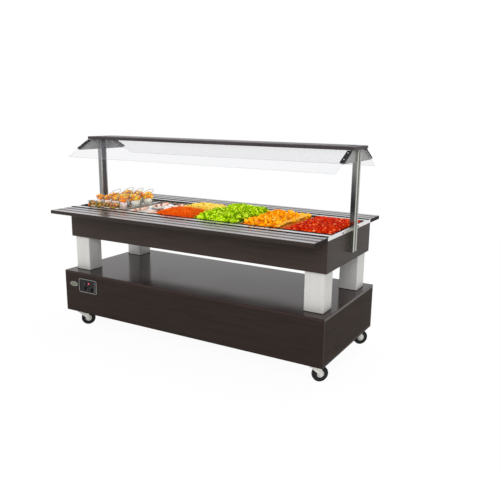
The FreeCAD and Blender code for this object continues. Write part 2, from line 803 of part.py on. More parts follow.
def control_plate():
    body = new_body("control_body")
    outline = sketch_in(body, "control_outline", "XZ_Plane")
    draw_round_rectangle(outline, "control_length", "control_height", "control_corner")
    pad(body, outline, "control_thickness", middle=True)
    move(body, CONTROL_MIDDLE, f"{PLATE_FRONT} + control_thickness / 2", CONTROL_HEIGHT)
    holes = [box("rocker_hole", "rocker_width", "3 * control_thickness", "rocker_height",
                 control_x("rocker_across"), PLATE_FRONT,
                 f"{control_z('rocker_down')} - rocker_height / 2")]
    for name in ("first_knob", "second_knob"):
        holes.append(cylinder(name + "_hole", "knob_shaft_radius + running_clearance",
                              "3 * control_thickness", control_x(name + "_across"),
                              f"{PLATE_FRONT} - control_thickness", control_z(name + "_down"), "Y"))
    return cut("control_holes", body, fuse("control_hole_set", holes))


def power_rocker():
    front = "0 - rocker_projection - control_thickness / 2"
    back = "rocker_depth - control_thickness / 2"
    top = "rocker_height / 2 - rocker_end_gap"
    bottom = f"0 - ({top})"
    body = profile("rocker", "YZ_Plane", [(front, bottom), (back, bottom), (back, top), (front, top)],
                   "rocker_width - 2 * rocker_side_gap")
    turn(body, (1, 0, 0), -value("rocker_throw_angle"))
    return move(body, control_x("rocker_across"), f"{PLATE_FRONT} + control_thickness / 2",
                control_z("rocker_down"))


def knob(name):
    body = new_body(name + "_body")
    disc = "0 - knob_gap - knob_disc_height"
    section = draw_polygon(sketch_in(body, name + "_section", "XY_Plane"), [
        ("0", disc), ("knob_radius", disc), ("knob_radius", "0 - knob_gap"),
        ("knob_shaft_radius", "0 - knob_gap"), ("knob_shaft_radius", "control_thickness - knob_gap"),
        ("0", "control_thickness - knob_gap")])
    revolve(body, section)
    grip = sketch_in(body, name + "_grip", "XZ_Plane", "knob_gap")
    side = "knob_grip_width / 2"
    end = "knob_radius - knob_grip_inset"
    draw_polygon(grip, [(f"0 - {side}", f"0 - ({end})"), (side, f"0 - ({end})"), (side, end),
                        (f"0 - {side}", end)])
    pad(body, grip, "knob_projection - knob_gap")
    return move(body, control_x(name + "_across"), PLATE_FRONT, control_z(name + "_down"))


def pilot_lamp():
    body = turned("lamp", [("0", "0 - lamp_projection"), ("lamp_radius", "0 - lamp_projection"),
                           ("lamp_radius", "0"), ("0", "0")],
                  control_x("lamp_across"), PLATE_FRONT, control_z("lamp_down"))
    front = PICK - value("lamp_projection")
    fillet(body, body.Tip, "lamp_projection / 2", lambda middle: middle.y < front)
    return body


keep(control_plate(), "control_plate")
keep(power_rocker(), "power_rocker")
keep(knob("first_knob"), "thermostat_knob")
keep(knob("second_knob"), "light_knob")
keep(pilot_lamp(), "pilot_lamp")


# Four hollow square pillars between the base and the well
def pillar(name, x, y):
    body = new_body(name)
    outside = sketch_in(body, name + "_outside", "XY_Plane")
    draw_round_rectangle(outside, "pillar_size", "pillar_size", "pillar_corner")
    pad(body, outside, "shelf_gap")
    inside = sketch_in(body, name + "_inside", "XY_Plane")
    hollow = "pillar_size - 2 * pillar_wall"
    draw_round_rectangle(inside, hollow, hollow, "pillar_corner - pillar_wall")
    pocket(body, inside, "2 * shelf_gap", middle=True)
    return move(body, x, y, BASE_TOP)


PILLAR_SPACING_LENGTH = f"({WELL_LENGTH} - 2 * pillar_inset_length - pillar_size)"
PILLAR_SPACING_WIDTH = f"({WELL_WIDTH} - 2 * pillar_inset_width - pillar_size)"
pillars = [pillar(f"pillar_{corner}", f"{side_x} * {PILLAR_SPACING_LENGTH} / 2",
                  f"{side_y} * {PILLAR_SPACING_WIDTH} / 2")
           for corner, (side_x, side_y) in CORNERS.items()]
keep(group("pillar_set", pillars), "pillars")


# Well: laminate skirt, steel deck with its basin, insulation, evaporator coil and pan bars
for name, side in (("front", -1), ("rear", 1)):
    keep(board(f"well_{name}", WELL_LENGTH, "panel_thickness", "well_height",
               y=f"{side} * ({WELL_WIDTH} - panel_thickness) / 2", z=WELL_BOTTOM), f"well_{name}_panel")
ends = [board(f"well_end_{side}", "panel_thickness", f"{WELL_WIDTH} - 2 * panel_thickness",
              "well_height", x=f"{side} * ({WELL_LENGTH} - panel_thickness) / 2", z=WELL_BOTTOM)
        for side in (-1, 1)]
keep(group("well_ends", ends), "well_end_panels")
INNER_LENGTH = f"({WELL_LENGTH} - 2 * panel_thickness)"
INNER_WIDTH = f"({WELL_WIDTH} - 2 * panel_thickness)"
keep(board("well_floor", INNER_LENGTH, INNER_WIDTH, "floor_board_thickness", z=WELL_BOTTOM),
     "well_floor_panel")


def shell_of(size):
    """A size grown by one sheet thickness on both sides."""
    return f"{size} + 2 * sheet_thickness"


def well_tank():
    deck = cut("deck_sheet",
               box("deck_outside", WELL_LENGTH, WELL_WIDTH, "deck_height", z=WELL_TOP),
               box("deck_inside", f"{WELL_LENGTH} - 2 * sheet_thickness",
                   f"{WELL_WIDTH} - 2 * sheet_thickness", "deck_height - sheet_thickness", z=WELL_TOP))
    ledge = box("ledge_outside", shell_of(DECK_OPENING_LENGTH), shell_of(DECK_OPENING_WIDTH),
                "ledge_depth + sheet_thickness", z=f"{LEDGE_TOP} - sheet_thickness")
    basin = box("basin_outside", shell_of(BASIN_LENGTH), shell_of(BASIN_WIDTH),
                "basin_depth + sheet_thickness", z=f"{BASIN_FLOOR} - sheet_thickness")
    opening = box("deck_opening", DECK_OPENING_LENGTH, DECK_OPENING_WIDTH,
                  "ledge_depth + cut_overrun", z=LEDGE_TOP)
    hollow = box("basin_inside", BASIN_LENGTH, BASIN_WIDTH, "basin_depth + cut_overrun",
                 z=BASIN_FLOOR)
    return cut("tank", fuse("tank_steel", [deck, ledge, basin]), fuse("tank_hollow", [opening, hollow]))


COIL_PITCH = f"(({BASIN_WIDTH} - 2 * coil_side_gap) / (coil_run_count - 1))"
COIL_LENGTH = f"({BASIN_LENGTH} - {COIL_PITCH} - 2 * coil_tube_radius - 2 * coil_end_gap)"
COIL_MIDDLE = f"({BASIN_FLOOR} - sheet_thickness - coil_clearance - coil_tube_radius)"


# The pans are numbered from -X; the third place holds two half-size pans
CUP_PAN = 1
SKEWER_PAN = 2
HALF_PAN = 3


def pan_x(number):
    """Where the middle of a pan lies along the trolley."""
    return f"({number} - (pan_count + 1) / 2) * {PAN_PITCH}"


def well_insulation():
    block = box("foam", INNER_LENGTH, INNER_WIDTH, "well_height - floor_board_thickness",
                z=f"{WELL_BOTTOM} + floor_board_thickness")
    basin = box("foam_basin", shell_of(BASIN_LENGTH), shell_of(BASIN_WIDTH), "well_height",
                z=f"{BASIN_FLOOR} - sheet_thickness")
    around = "2 * (coil_tube_radius + coil_clearance)"
    coil = box("foam_coil", f"{COIL_LENGTH} + {COIL_PITCH} + {around}",
               f"(coil_run_count - 1) * {COIL_PITCH} + {around}", f"{around} + cut_overrun",
               z=f"{COIL_MIDDLE} - coil_tube_radius - coil_clearance")
    return cut("insulation", block, fuse("foam_hollow", [basin, coil]))


def evaporator_coil():
    """Straight runs joined by half-circle bends, swept as one tube."""
    run = value(COIL_LENGTH) / 2
    pitch = value(COIL_PITCH)
    runs = int(value("coil_run_count"))
    edges = []
    for number in range(runs):
        across = (number - (runs - 1) / 2) * pitch
        side = 1 if number % 2 == 0 else -1
        start = FreeCAD.Vector(-side * run, across, 0)
        end = FreeCAD.Vector(side * run, across, 0)
        edges.append(Part.LineSegment(start, end).toShape())
        if number < runs - 1:
            middle = FreeCAD.Vector(side * (run + pitch / 2), across + pitch / 2, 0)
            after = FreeCAD.Vector(side * run, across + pitch, 0)
            edges.append(Part.Arc(end, middle, after).toShape())
    path = doc.addObject("Part::Feature", "coil_path")
    path.Shape = Part.Wire(edges)
    ring = doc.addObject("Part::Circle", "coil_ring")
    ring.setExpression("Radius", sized("coil_tube_radius"))
    turn(ring, (0, 1, 0), 90)
    move(ring, f"0 - {COIL_LENGTH} / 2", f"0 - (coil_run_count - 1) * {COIL_PITCH} / 2")
    tube = doc.addObject("Part::Sweep", "coil_tube")
    tube.Sections = [ring]
    tube.Spine = (path, [f"Edge{number + 1}" for number in range(len(edges))])
    tube.Solid = True
    return move(tube, z=COIL_MIDDLE)


def pan_support_bars():
    bottom = f"{LEDGE_TOP} - pan_bar_height"
    bars = [box("pan_bar", "pan_bar_width", BASIN_WIDTH, "pan_bar_height",
                x=f"({number} - pan_count / 2) * {PAN_PITCH}", z=bottom)
            for number in range(1, int(value("pan_count")))]
    bars.append(box("half_bar", f"{PAN_PITCH} - pan_bar_width", "pan_bar_width", "pan_bar_height",
                    x=pan_x(HALF_PAN), z=bottom))
    return group("pan_bars", bars)


keep(well_tank(), "well_tank")
keep(well_insulation(), "well_insulation")
keep(evaporator_coil(), "evaporator_coil")
keep(pan_support_bars(), "pan_support_bars")


# Tray boards: each folds down on three hinges and carries three flat steel rails
TRAY_INSIDE = f"({WELL_WIDTH} / 2 + tray_gap)"
TRAY_MIDDLE = f"({TRAY_INSIDE} + tray_width / 2)"
BOARD_BOTTOM = f"({DECK_TOP} - tray_thickness)"
HINGE_AXIS_Y = f"({WELL_WIDTH} / 2 + hinge_offset)"
HINGE_AXIS_Z = f"({BOARD_BOTTOM} - hinge_top_gap - hinge_knuckle_radius)"
KNUCKLE_WIDTH = "(hinge_width / 3 - hinge_side_gap)"
HINGE_SPACING = f"({WELL_LENGTH} / 2 - hinge_inset)"
HINGE_STEPS = (-1, 0, 1)


def tray_rails(name, side):
    pieces = []
    for number in range(int(value("rail_count"))):
        place = f"{side} * ({TRAY_MIDDLE} + ({number} - (rail_count - 1) / 2) * rail_pitch)"
        pieces.append(box("rail", f"{WELL_LENGTH} - 2 * tray_edge", "rail_width", "rail_height",
                          y=place, z=f"{DECK_TOP} - rail_height"))
    reach = "(hinge_knuckle_radius + hinge_side_gap)"
    for step in HINGE_STEPS:
        hinge_x = f"{step} * {HINGE_SPACING}"
        leaf = [box("leaf", "hinge_width", f"hinge_leaf_length - {reach}", "hinge_leaf_thickness", hinge_x,
                    f"{side} * ({HINGE_AXIS_Y} + (hinge_leaf_length + {reach}) / 2)",
                    f"{BOARD_BOTTOM} - hinge_leaf_thickness")]
        for end in (-1, 1):
            knuckle_x = f"{hinge_x} + {end} * (hinge_width - {KNUCKLE_WIDTH}) / 2"
            leaf.append(box("leaf_tab", KNUCKLE_WIDTH, reach, "hinge_leaf_thickness", knuckle_x,
                            f"{side} * ({HINGE_AXIS_Y} + {reach} / 2)",
                            f"{BOARD_BOTTOM} - hinge_leaf_thickness"))
            leaf.append(cylinder("leaf_knuckle", "hinge_knuckle_radius", KNUCKLE_WIDTH,
                                 f"{knuckle_x} - {KNUCKLE_WIDTH} / 2", f"{side} * {HINGE_AXIS_Y}",
                                 HINGE_AXIS_Z, "X"))
        bore = cylinder("leaf_bore", "hinge_pin_radius + running_clearance",
                        "hinge_width + 2 * cut_overrun", f"{hinge_x} - hinge_width / 2 - cut_overrun",
                        f"{side} * {HINGE_AXIS_Y}", HINGE_AXIS_Z, "X")
        pieces.append(cut("bored_leaf", fuse("leaf_steel", leaf), bore))
    return group(name, pieces)


def tray_hinges():
    pieces = []
    for side in (-1, 1):
        for step in HINGE_STEPS:
            hinge_x = f"{step} * {HINGE_SPACING}"
            pieces.append(fuse("fixed_hinge", [
                box("fixed_leaf", "hinge_width", "hinge_leaf_thickness", "hinge_fixed_leaf_height", hinge_x,
                    f"{side} * ({WELL_WIDTH} + hinge_leaf_thickness) / 2",
                    f"{HINGE_AXIS_Z} - hinge_fixed_leaf_height"),
                box("fixed_web", KNUCKLE_WIDTH, "hinge_offset", "hinge_leaf_thickness", hinge_x,
                    f"{side} * ({WELL_WIDTH} + hinge_offset) / 2", f"{HINGE_AXIS_Z} - hinge_knuckle_radius"),
                cylinder("fixed_knuckle", "hinge_knuckle_radius", KNUCKLE_WIDTH,
                         f"{hinge_x} - {KNUCKLE_WIDTH} / 2", f"{side} * {HINGE_AXIS_Y}", HINGE_AXIS_Z, "X"),
                cylinder("hinge_pin", "hinge_pin_radius", "hinge_width", f"{hinge_x} - hinge_width / 2",
                         f"{side} * {HINGE_AXIS_Y}", HINGE_AXIS_Z, "X")]))
    return group("fixed_hinges", pieces)


for name, side in (("front", -1), ("rear", 1)):
    keep(board(f"{name}_tray", WELL_LENGTH, "tray_width", "tray_thickness - rail_height",
               y=f"{side} * {TRAY_MIDDLE}", z=BOARD_BOTTOM, edge="tray_edge"), f"{name}_tray_board")
    keep(tray_rails(f"{name}_rails", side), f"{name}_tray_rails")
keep(tray_hinges(), "tray_hinges")


# Canopy: grooved posts, roof board, winged brackets, glass panes and the clamps that hold them
POST_MIDDLE = f"(({WELL_LENGTH} + post_depth) / 2)"
ROOF_LENGTH = f"({WELL_LENGTH} + 2 * post_depth + 2 * roof_overhang)"
GLASS_LENGTH = f"({WELL_LENGTH} + post_depth + 2 * glass_end_overlap)"


def canopy_post(name, side):
    groove = "post_depth / 2 - post_groove_depth"
    outline = [("post_depth / 2", "0 - post_width / 2"), ("post_depth / 2", "0 - post_groove_width / 2"),
               (groove, "0 - post_groove_width / 2"), (groove, "post_groove_width / 2"),
               ("post_depth / 2", "post_groove_width / 2"), ("post_depth / 2", "post_width / 2")]
    mirrored = [(f"0 - ({across})", up) for across, up in reversed(outline)]
    body = new_body(name)
    section = draw_polygon(sketch_in(body, name + "_section", "XY_Plane"), outline + mirrored)
    pad(body, section, "roof_clearance + post_drop")
    hollow = sketch_in(body, name + "_hollow", "XY_Plane")
    inside = f"{groove} - post_wall"
    draw_polygon(hollow, [(f"0 - ({inside})", "post_wall - post_width / 2"),
                          (inside, "post_wall - post_width / 2"), (inside, "post_width / 2 - post_wall"),
                          (f"0 - ({inside})", "post_width / 2 - post_wall")])
    pocket(body, hollow, "2 * (roof_clearance + post_drop + cut_overrun)", middle=True)
    return move(body, f"{side} * {POST_MIDDLE}", "0", f"{DECK_TOP} - post_drop")


def on_slope(side, along, above):
    """A point of the glass slope: distance down it from the roof edge, and distance above it."""
    level = f"({along}) * cos(glass_slope_angle) + ({above}) * sin(glass_slope_angle)"
    out = f"{side} * (roof_width / 2 + {level})"
    up = f"{ROOF_BOTTOM} - ({along}) * sin(glass_slope_angle) + ({above}) * cos(glass_slope_angle)"
    return out, up


def slope_slab(name, side, start, end, bottom, top, length, x="0"):
    """A flat piece that lies along the glass slope."""
    corners = [on_slope(side, start, bottom), on_slope(side, end, bottom),
               on_slope(side, end, top), on_slope(side, start, top)]
    return profile(name, "YZ_Plane", corners, length, x)


GLASS_TOP = "(0 - glass_sink)"
GLASS_BOTTOM = f"({GLASS_TOP} - glass_thickness)"
TAB_TOP = f"({GLASS_BOTTOM} - glass_gap)"
TAB_BOTTOM = f"({TAB_TOP} - bracket_tab_thickness)"


def canopy_bracket(name, side_x, side_y):
    """A wing in the post's middle plane, with a tab under the edge of the glass."""
    tip = on_slope(side_y, "bracket_slant", f"{TAB_TOP} - bracket_tab_thickness / 2")
    root = f"{side_y} * post_width / 2"
    roof_end = f"{side_y} * (roof_width / 2 + {TAB_TOP} / sin(glass_slope_angle))"
    low = f"{tip[1]} - bracket_lip"
    x = f"{side_x} * {POST_MIDDLE}"
    wing = profile(name + "_wing", "YZ_Plane",
                   [(root, ROOF_BOTTOM), (roof_end, ROOF_BOTTOM), tip, (tip[0], low), (root, low)],
                   "bracket_thickness", x)
    tab = slope_slab(name + "_tab", side_y, "clamp_start", "bracket_slant", TAB_BOTTOM, TAB_TOP,
                     "bracket_tab_width", x)
    return fuse(name, [wing, tab])


keep(group("posts", [canopy_post("post_left", -1), canopy_post("post_right", 1)]), "canopy_posts")
keep(board("roof", ROOF_LENGTH, "roof_width", "roof_thickness", z=ROOF_BOTTOM, edge="roof_edge"),
     "canopy_roof")
brackets = []
clamps = []
for corner, (side_x, side_y) in CORNERS.items():
    brackets.append(canopy_bracket(f"bracket_{corner}", side_x, side_y))
    clamps.append(slope_slab(f"clamp_{corner}", side_y, "clamp_start", "bracket_slant",
                             GLASS_TOP, f"{GLASS_TOP} + clamp_thickness", "bracket_tab_width",
                             f"{side_x} * {POST_MIDDLE}"))
keep(group("bracket_set", brackets), "canopy_brackets")
keep(group("clamp_set", clamps), "glass_clamps")
for name, side in (("front", -1), ("rear", 1)):
    keep(slope_slab(f"{name}_pane", side, "0 - glass_under_roof", "glass_slant", GLASS_BOTTOM, GLASS_TOP,
                    GLASS_LENGTH), f"{name}_glass")


# Pans: drawn steel, hung by their flanges, each with its food
PAN_SEAT = f"({LEDGE_TOP} + seat_gap)"
HALF_WIDTH = "((pan_width - pan_gap) / 2)"
HALF_PLACE = "((pan_width + pan_gap) / 4)"


def bowl(size, shrink="0"):
    """The size of a pan's bowl at the flange, made smaller on every side by a wall or a gap."""
    return f"{size} - 2 * pan_flange - 2 * ({shrink})"


def pan(name, width, depth, x, y):
    body = new_body(name + "_body")
    flange = sketch_in(body, name + "_flange", "XY_Plane")
    draw_round_rectangle(flange, "pan_length", width, "pan_flange_corner")
    pad(body, flange, "pan_flange_thickness")
    outside = sketch_in(body, name + "_outside", "XY_Plane")
    draw_round_rectangle(outside, bowl("pan_length"), bowl(width), "pan_corner")
    pad(body, outside, f"{depth} + pan_wall", reverse=True, taper="0 - pan_taper_angle")
    inside = sketch_in(body, name + "_inside", "XY_Plane", "pan_flange_thickness")
    draw_round_rectangle(inside, bowl("pan_length", "pan_wall"), bowl(width, "pan_wall"),
                         "pan_corner - pan_wall")
    pocket(body, inside, f"{depth} + pan_flange_thickness", taper="0 - pan_taper_angle")
    return move(body, x, y, PAN_SEAT)


def heap(name, width, rise, x, y):
    """Food that fills a pan to below its rim and stands up above it as a mound."""
    body = new_body(name + "_body")
    sunk = "pan_wall + food_clearance + heap_recess * tan(pan_taper_angle)"
    length = bowl("pan_length", sunk)
    across = bowl(width, sunk)
    corner = f"pan_corner - ({sunk})"
    low = sketch_in(body, name + "_low", "XY_Plane")
    draw_round_rectangle(low, length, across, corner)
    pad(body, low, "pan_depth - heap_recess - food_clearance", reverse=True, taper="0 - pan_taper_angle")
    high = sketch_in(body, name + "_high", "XY_Plane")
    draw_round_rectangle(high, length, across, corner)
    mound = pad(body, high, f"{rise} + heap_recess", taper="0 - heap_slope_angle")
    top = value(f"{rise} + heap_recess") - PICK
    fillet(body, mound, "heap_edge", lambda middle: middle.z > top)
    return move(body, x, y, f"{PAN_SEAT} - heap_recess")


FULL_PANS = {
    CUP_PAN: ("cup", "shallow_pan_depth"),
    SKEWER_PAN: ("skewer", "shallow_pan_depth"),
    4: ("lettuce", "pan_depth"),
    5: ("orange", "pan_depth"),
    6: ("tomato", "pan_depth"),
}
for number, (name, depth) in FULL_PANS.items():
    keep(pan(name, "pan_width", depth, pan_x(number), "0"), f"{name}_pan")
    if depth == "pan_depth":
        keep(heap(f"{name}_food", "pan_width", f"{name}_rise", pan_x(number), "0"), f"{name}_heap")
for name, side in (("carrot", -1), ("corn", 1)):
    place = f"{side} * {HALF_PLACE}"
    middle = pan_x(HALF_PAN)
    keep(pan(name, HALF_WIDTH, "pan_depth", middle, place), f"{name}_pan")
    keep(heap(f"{name}_food", HALF_WIDTH, f"{name}_rise", middle, place), f"{name}_heap")

SHALLOW_FLOOR = f"({PAN_SEAT} - shallow_pan_depth + food_clearance)"
BED_LENGTH = f"({bowl('pan_length', 'pan_wall')})"
BED_WIDTH = f"({bowl('pan_width', 'pan_wall')})"
BOWL_ROW = f"(bowl_rim_radius + cup_end_gap - {BED_WIDTH} / 2)"
TUMBLER_ROW = f"({BOWL_ROW} + bowl_rim_radius + tumbler_front_gap + tumbler_rim_radius)"
REAR_ROW = f"({BED_WIDTH} / 2 - beaker_rear_gap - beaker_rim_radius)"
MIDDLE_ROW = f"({REAR_ROW} - 2 * beaker_rim_radius - beaker_row_gap)"


def cup_row(kind, y):
    """A row of filled bowls, tumblers or beakers, each wider at the rim than at the foot."""
    pitch = f"({BED_LENGTH} - 2 * {kind}_rim_radius - 2 * cup_end_gap) / ({kind}_count - 1)"
    row = []
    for number in range(int(value(f"{kind}_count"))):
        cup = doc.addObject("Part::Cone", kind)
        cup.setExpression("Radius1", sized(f"{kind}_foot_radius"))
        cup.setExpression("Radius2", sized(f"{kind}_rim_radius"))
        cup.setExpression("Height", sized(f"{kind}_height"))
        x = f"{pan_x(CUP_PAN)} + ({number} - ({kind}_count - 1) / 2) * {pitch}"
        row.append(move(cup, x, y, SHALLOW_FLOOR))
    return row


def plates_of_skewers():
    """Four long plates with pointed ends, each with a row of skewered food along its middle."""
    length = f"(({BED_WIDTH} - 3 * plate_gap) / 2)"
    width = f"(({BED_LENGTH} - 3 * plate_gap) / 2)"
    side = f"{width} / 2"
    tip = f"{length} / 2"
    shoulder = f"({length} / 2 - plate_point)"
    outline = [(side, f"0 - {shoulder}"), (side, shoulder), ("0", tip), (f"0 - {side}", shoulder),
               (f"0 - {side}", f"0 - {shoulder}"), ("0", f"0 - {tip}")]
    pieces = []
    for corner, (side_x, side_y) in CORNERS.items():
        x = f"{pan_x(SKEWER_PAN)} + {side_x} * ({width} + plate_gap) / 2"
        y = f"{side_y} * ({length} + plate_gap) / 2"
        plate = new_body(f"plate_{corner}")
        pad(plate, draw_polygon(sketch_in(plate, f"plate_{corner}_outline", "XY_Plane"), outline),
            "plate_height")
        move(plate, x, y, SHALLOW_FLOOR)
        skewer = box("skewer", "skewer_width", f"{length} - 2 * skewer_end_gap", "skewer_height",
                     x, y, f"{SHALLOW_FLOOR} + plate_height")
        pieces.append(fuse("served_plate", [plate, skewer]))
    return group("plate_set", pieces)


keep(group("cup_set", cup_row("bowl", BOWL_ROW) + cup_row("tumbler", TUMBLER_ROW)
           + cup_row("beaker", MIDDLE_ROW) + cup_row("beaker", REAR_ROW)), "cups")
keep(plates_of_skewers(), "skewer_plates")


# Check every object, then write one STEP file for each sub-part
doc.recompute()
for item in doc.Objects:
    failed = [state for state in item.State if state in ("Invalid", "Error")]
    if failed:
        raise RuntimeError(f"{item.Name}: {failed}")
for node in NODES:
    if node.Shape.isNull() or not node.Shape.isValid() or not node.Shape.Solids:
        raise RuntimeError(f"{node.Label} has no valid shape")

os.makedirs("parts", exist_ok=True)
for node in NODES:
    node.Shape.exportStep(f"parts/{node.Label}.step")
print(len(NODES), "sub-parts written")
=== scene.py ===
import bpy
import math
import numpy as np
from mathutils import Matrix, Vector


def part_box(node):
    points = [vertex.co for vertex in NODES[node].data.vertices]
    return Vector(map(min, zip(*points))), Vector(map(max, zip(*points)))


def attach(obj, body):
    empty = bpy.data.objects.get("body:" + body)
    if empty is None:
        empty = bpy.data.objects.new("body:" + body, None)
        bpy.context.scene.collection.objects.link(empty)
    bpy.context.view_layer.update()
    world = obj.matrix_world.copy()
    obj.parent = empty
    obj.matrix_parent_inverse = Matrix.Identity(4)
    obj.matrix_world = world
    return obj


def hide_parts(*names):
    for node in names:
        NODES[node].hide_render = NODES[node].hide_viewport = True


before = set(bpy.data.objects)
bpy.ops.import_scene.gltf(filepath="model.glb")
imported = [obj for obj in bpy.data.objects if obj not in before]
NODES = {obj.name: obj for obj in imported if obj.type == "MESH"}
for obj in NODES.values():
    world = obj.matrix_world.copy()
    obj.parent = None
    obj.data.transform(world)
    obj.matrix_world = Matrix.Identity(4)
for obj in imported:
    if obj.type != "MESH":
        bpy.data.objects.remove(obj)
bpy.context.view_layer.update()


# --------------------------------------
# Studio: a white floor that turns into an even white surround, three large soft lamps and a dark
# card to the front left that metal faces reflect. The camera stands to the front right.
def tone(red, green, blue):
    """A screen colour, 0 to 255 a channel, as the linear colour that the shaders take."""
    screen = np.array([red, green, blue]) / 255
    linear = np.where(screen <= 0.04045, screen / 12.92, ((screen + 0.055) / 1.055) ** 2.4)
    return (*linear.tolist(), 1.0)


def wire(tree, kind, inputs, **settings):
    """Adds a shader node. Its inputs are numbers, colours, other nodes or their outputs."""
    node = tree.nodes.new("ShaderNode" + kind)
    for key, setting in settings.items():
        setattr(node, key, setting)
    for key, given in inputs.items():
        if isinstance(given, bpy.types.Node):
            given = given.outputs[0]
        if isinstance(given, bpy.types.NodeSocket):
            tree.links.new(given, node.inputs[key])
        else:
            node.inputs[key].default_value = given
    return node


def seen_directly(tree):
    """1 for rays from the camera, off a shiny face or through glass, and 0 for soft light."""
    path = tree.nodes.new("ShaderNodeLightPath").outputs
    either = wire(tree, "Math", {0: path["Is Camera Ray"], 1: path["Is Glossy Ray"]},
                  operation="MAXIMUM")
    return wire(tree, "Math", {0: either, 1: path["Is Transmission Ray"]}, operation="MAXIMUM")


def ranged(tree, source, low, high, start_at=0.3, end_at=0.7):
    """Carries a value between two others, evenly, as it goes from start_at to end_at."""
    return wire(tree, "MapRange", {"Value": source, "From Min": start_at, "From Max": end_at,
                                   "To Min": low, "To Max": high}).outputs[0]


WHITE = (1, 1, 1, 1)
SURROUND_LIGHT = 0.62
world = bpy.data.worlds.new("studio_surround")
bpy.context.scene.world = world
world.use_nodes = True
tree = world.node_tree
tree.nodes.clear()
soft = wire(tree, "Background", {"Color": WHITE, "Strength": SURROUND_LIGHT})
bright = wire(tree, "Background", {"Color": WHITE, "Strength": 1.0})
surround = wire(tree, "MixShader", {0: seen_directly(tree), 1: soft, 2: bright})
wire(tree, "OutputWorld", {"Surface": surround})


def flat_sheet(name, corners):
    """One four-cornered face of the studio, which is not part of the trolley, and its tree."""
    mesh = bpy.data.meshes.new(name)
    mesh.from_pydata(corners, [], [(0, 1, 2, 3)])
    sheet = bpy.data.objects.new(name, mesh)
    bpy.context.scene.collection.objects.link(sheet)
    material = bpy.data.materials.new(name + "_finish")
    material.use_nodes = True
    material.node_tree.nodes.clear()
    mesh.materials.append(material)
    return sheet, material.node_tree


FLOOR_HALF = 30
FLOOR_NEAR = 1.6
FLOOR_FAR = 5.0
FLOOR_GLOW_NEAR = 0.955
FLOOR_MATTE = (0.86, 0.86, 0.86, 1)
floor_corners = [(x * FLOOR_HALF, y * FLOOR_HALF, 0) for x, y in ((-1, -1), (1, -1), (1, 1), (-1, 1))]
tree = flat_sheet("studio_floor", floor_corners)[1]
place = tree.nodes.new("ShaderNodeTexCoord").outputs["Object"]
distance = wire(tree, "VectorMath", {0: place}, operation="LENGTH").outputs["Value"]
glow_share = ranged(tree, distance, FLOOR_GLOW_NEAR, 1.0, FLOOR_NEAR, FLOOR_FAR)
matte = wire(tree, "BsdfDiffuse", {"Color": FLOOR_MATTE})
glow = wire(tree, "Emission", {"Color": WHITE, "Strength": 1.0})
share = wire(tree, "Math", {0: seen_directly(tree), 1: glow_share}, operation="MULTIPLY")
wire(tree, "OutputMaterial", {"Surface": wire(tree, "MixShader", {0: share, 1: matte, 2: glow})})

CARD_LEFT = (-1.8, -3.4)
CARD_RIGHT = (0.75, -3.75)
CARD_FOOT = 0.09
CARD_HEIGHT = 0.79
CARD_DARK = (0.018, 0.018, 0.017, 1)
card, tree = flat_sheet("studio_card", [(*CARD_LEFT, CARD_FOOT), (*CARD_RIGHT, CARD_FOOT),
                                        (*CARD_RIGHT, CARD_HEIGHT), (*CARD_LEFT, CARD_HEIGHT)])
dark = wire(tree, "Emission", {"Color": CARD_DARK, "Strength": 1.0})
wire(tree, "OutputMaterial", {"Surface": dark})
card.visible_camera = False
card.visible_diffuse = False
card.visible_transmission = False
card.visible_shadow = False

LAMP_AIM = Vector((0, 0, 0.7))
LAMPS = {
    "key": ((2.6, -4.4, 3.4), 2.6, 165),
    "fill": ((-3.6, -3.2, 2.8), 3.0, 60),
    "top": ((0.4, 0.9, 4.6), 3.0, 140),
}
for name, (place, size, power) in LAMPS.items():
    data = bpy.data.lights.new(name + "_lamp", "AREA")
    data.shape = "SQUARE"
    data.size = size
    data.energy = power
    lamp = bpy.data.objects.new(name + "_lamp", data)
    lamp.location = place
    lamp.rotation_euler = (LAMP_AIM - Vector(place)).to_track_quat("-Z", "Y").to_euler()
    lamp.visible_glossy = False
    lamp.visible_transmission = False
    bpy.context.scene.collection.objects.link(lamp)

CAMERA_PLACE = (2.2254, -3.3721, 1.5492)
CAMERA_YAW = math.radians(29.8523)
CAMERA_PITCH = math.radians(12.9558)
CAMERA_ROLL = math.radians(0.7366)
CAMERA_LENS = 42.6645

forward = Vector((-math.sin(CAMERA_YAW) * math.cos(CAMERA_PITCH),
                  math.cos(CAMERA_YAW) * math.cos(CAMERA_PITCH), -math.sin(CAMERA_PITCH)))
level = Vector((math.cos(CAMERA_YAW), math.sin(CAMERA_YAW), 0))
upward = level.cross(forward)
camera_right = math.cos(CAMERA_ROLL) * level + math.sin(CAMERA_ROLL) * upward
camera_up = math.cos(CAMERA_ROLL) * upward - math.sin(CAMERA_ROLL) * level
camera_data = bpy.data.cameras.new("camera")
camera_data.sensor_width = 36
camera_data.lens = CAMERA_LENS
camera = bpy.data.objects.new("camera", camera_data)
bpy.context.scene.collection.objects.link(camera)
camera.matrix_world = (Matrix.Translation(CAMERA_PLACE)
                       @ Matrix((camera_right, camera_up, -forward)).transposed().to_4x4())
bpy.context.scene.camera = camera
bpy.context.scene.view_settings.view_transform = "Standard"


# --------------------------------------
# Laminate boards: the base cabinet, the well's skirt, the tray boards and the roof are chipboard
# faced with dark wenge laminate. The boards meet at butt joints; the base top is lacquered.
def start(name, color, roughness, **constants):
    """A material with its colour, roughness and other constants set on its shader."""
    material = bpy.data.materials.new(name)
    material.use_nodes = True
    shader = material.node_tree.nodes["Principled BSDF"]
    shader.inputs["Base Color"].default_value = color
    shader.inputs["Roughness"].default_value = roughness
    for key, constant in constants.items():
        shader.inputs[key.replace("_", " ")].default_value = constant
    return material, material.node_tree, shader


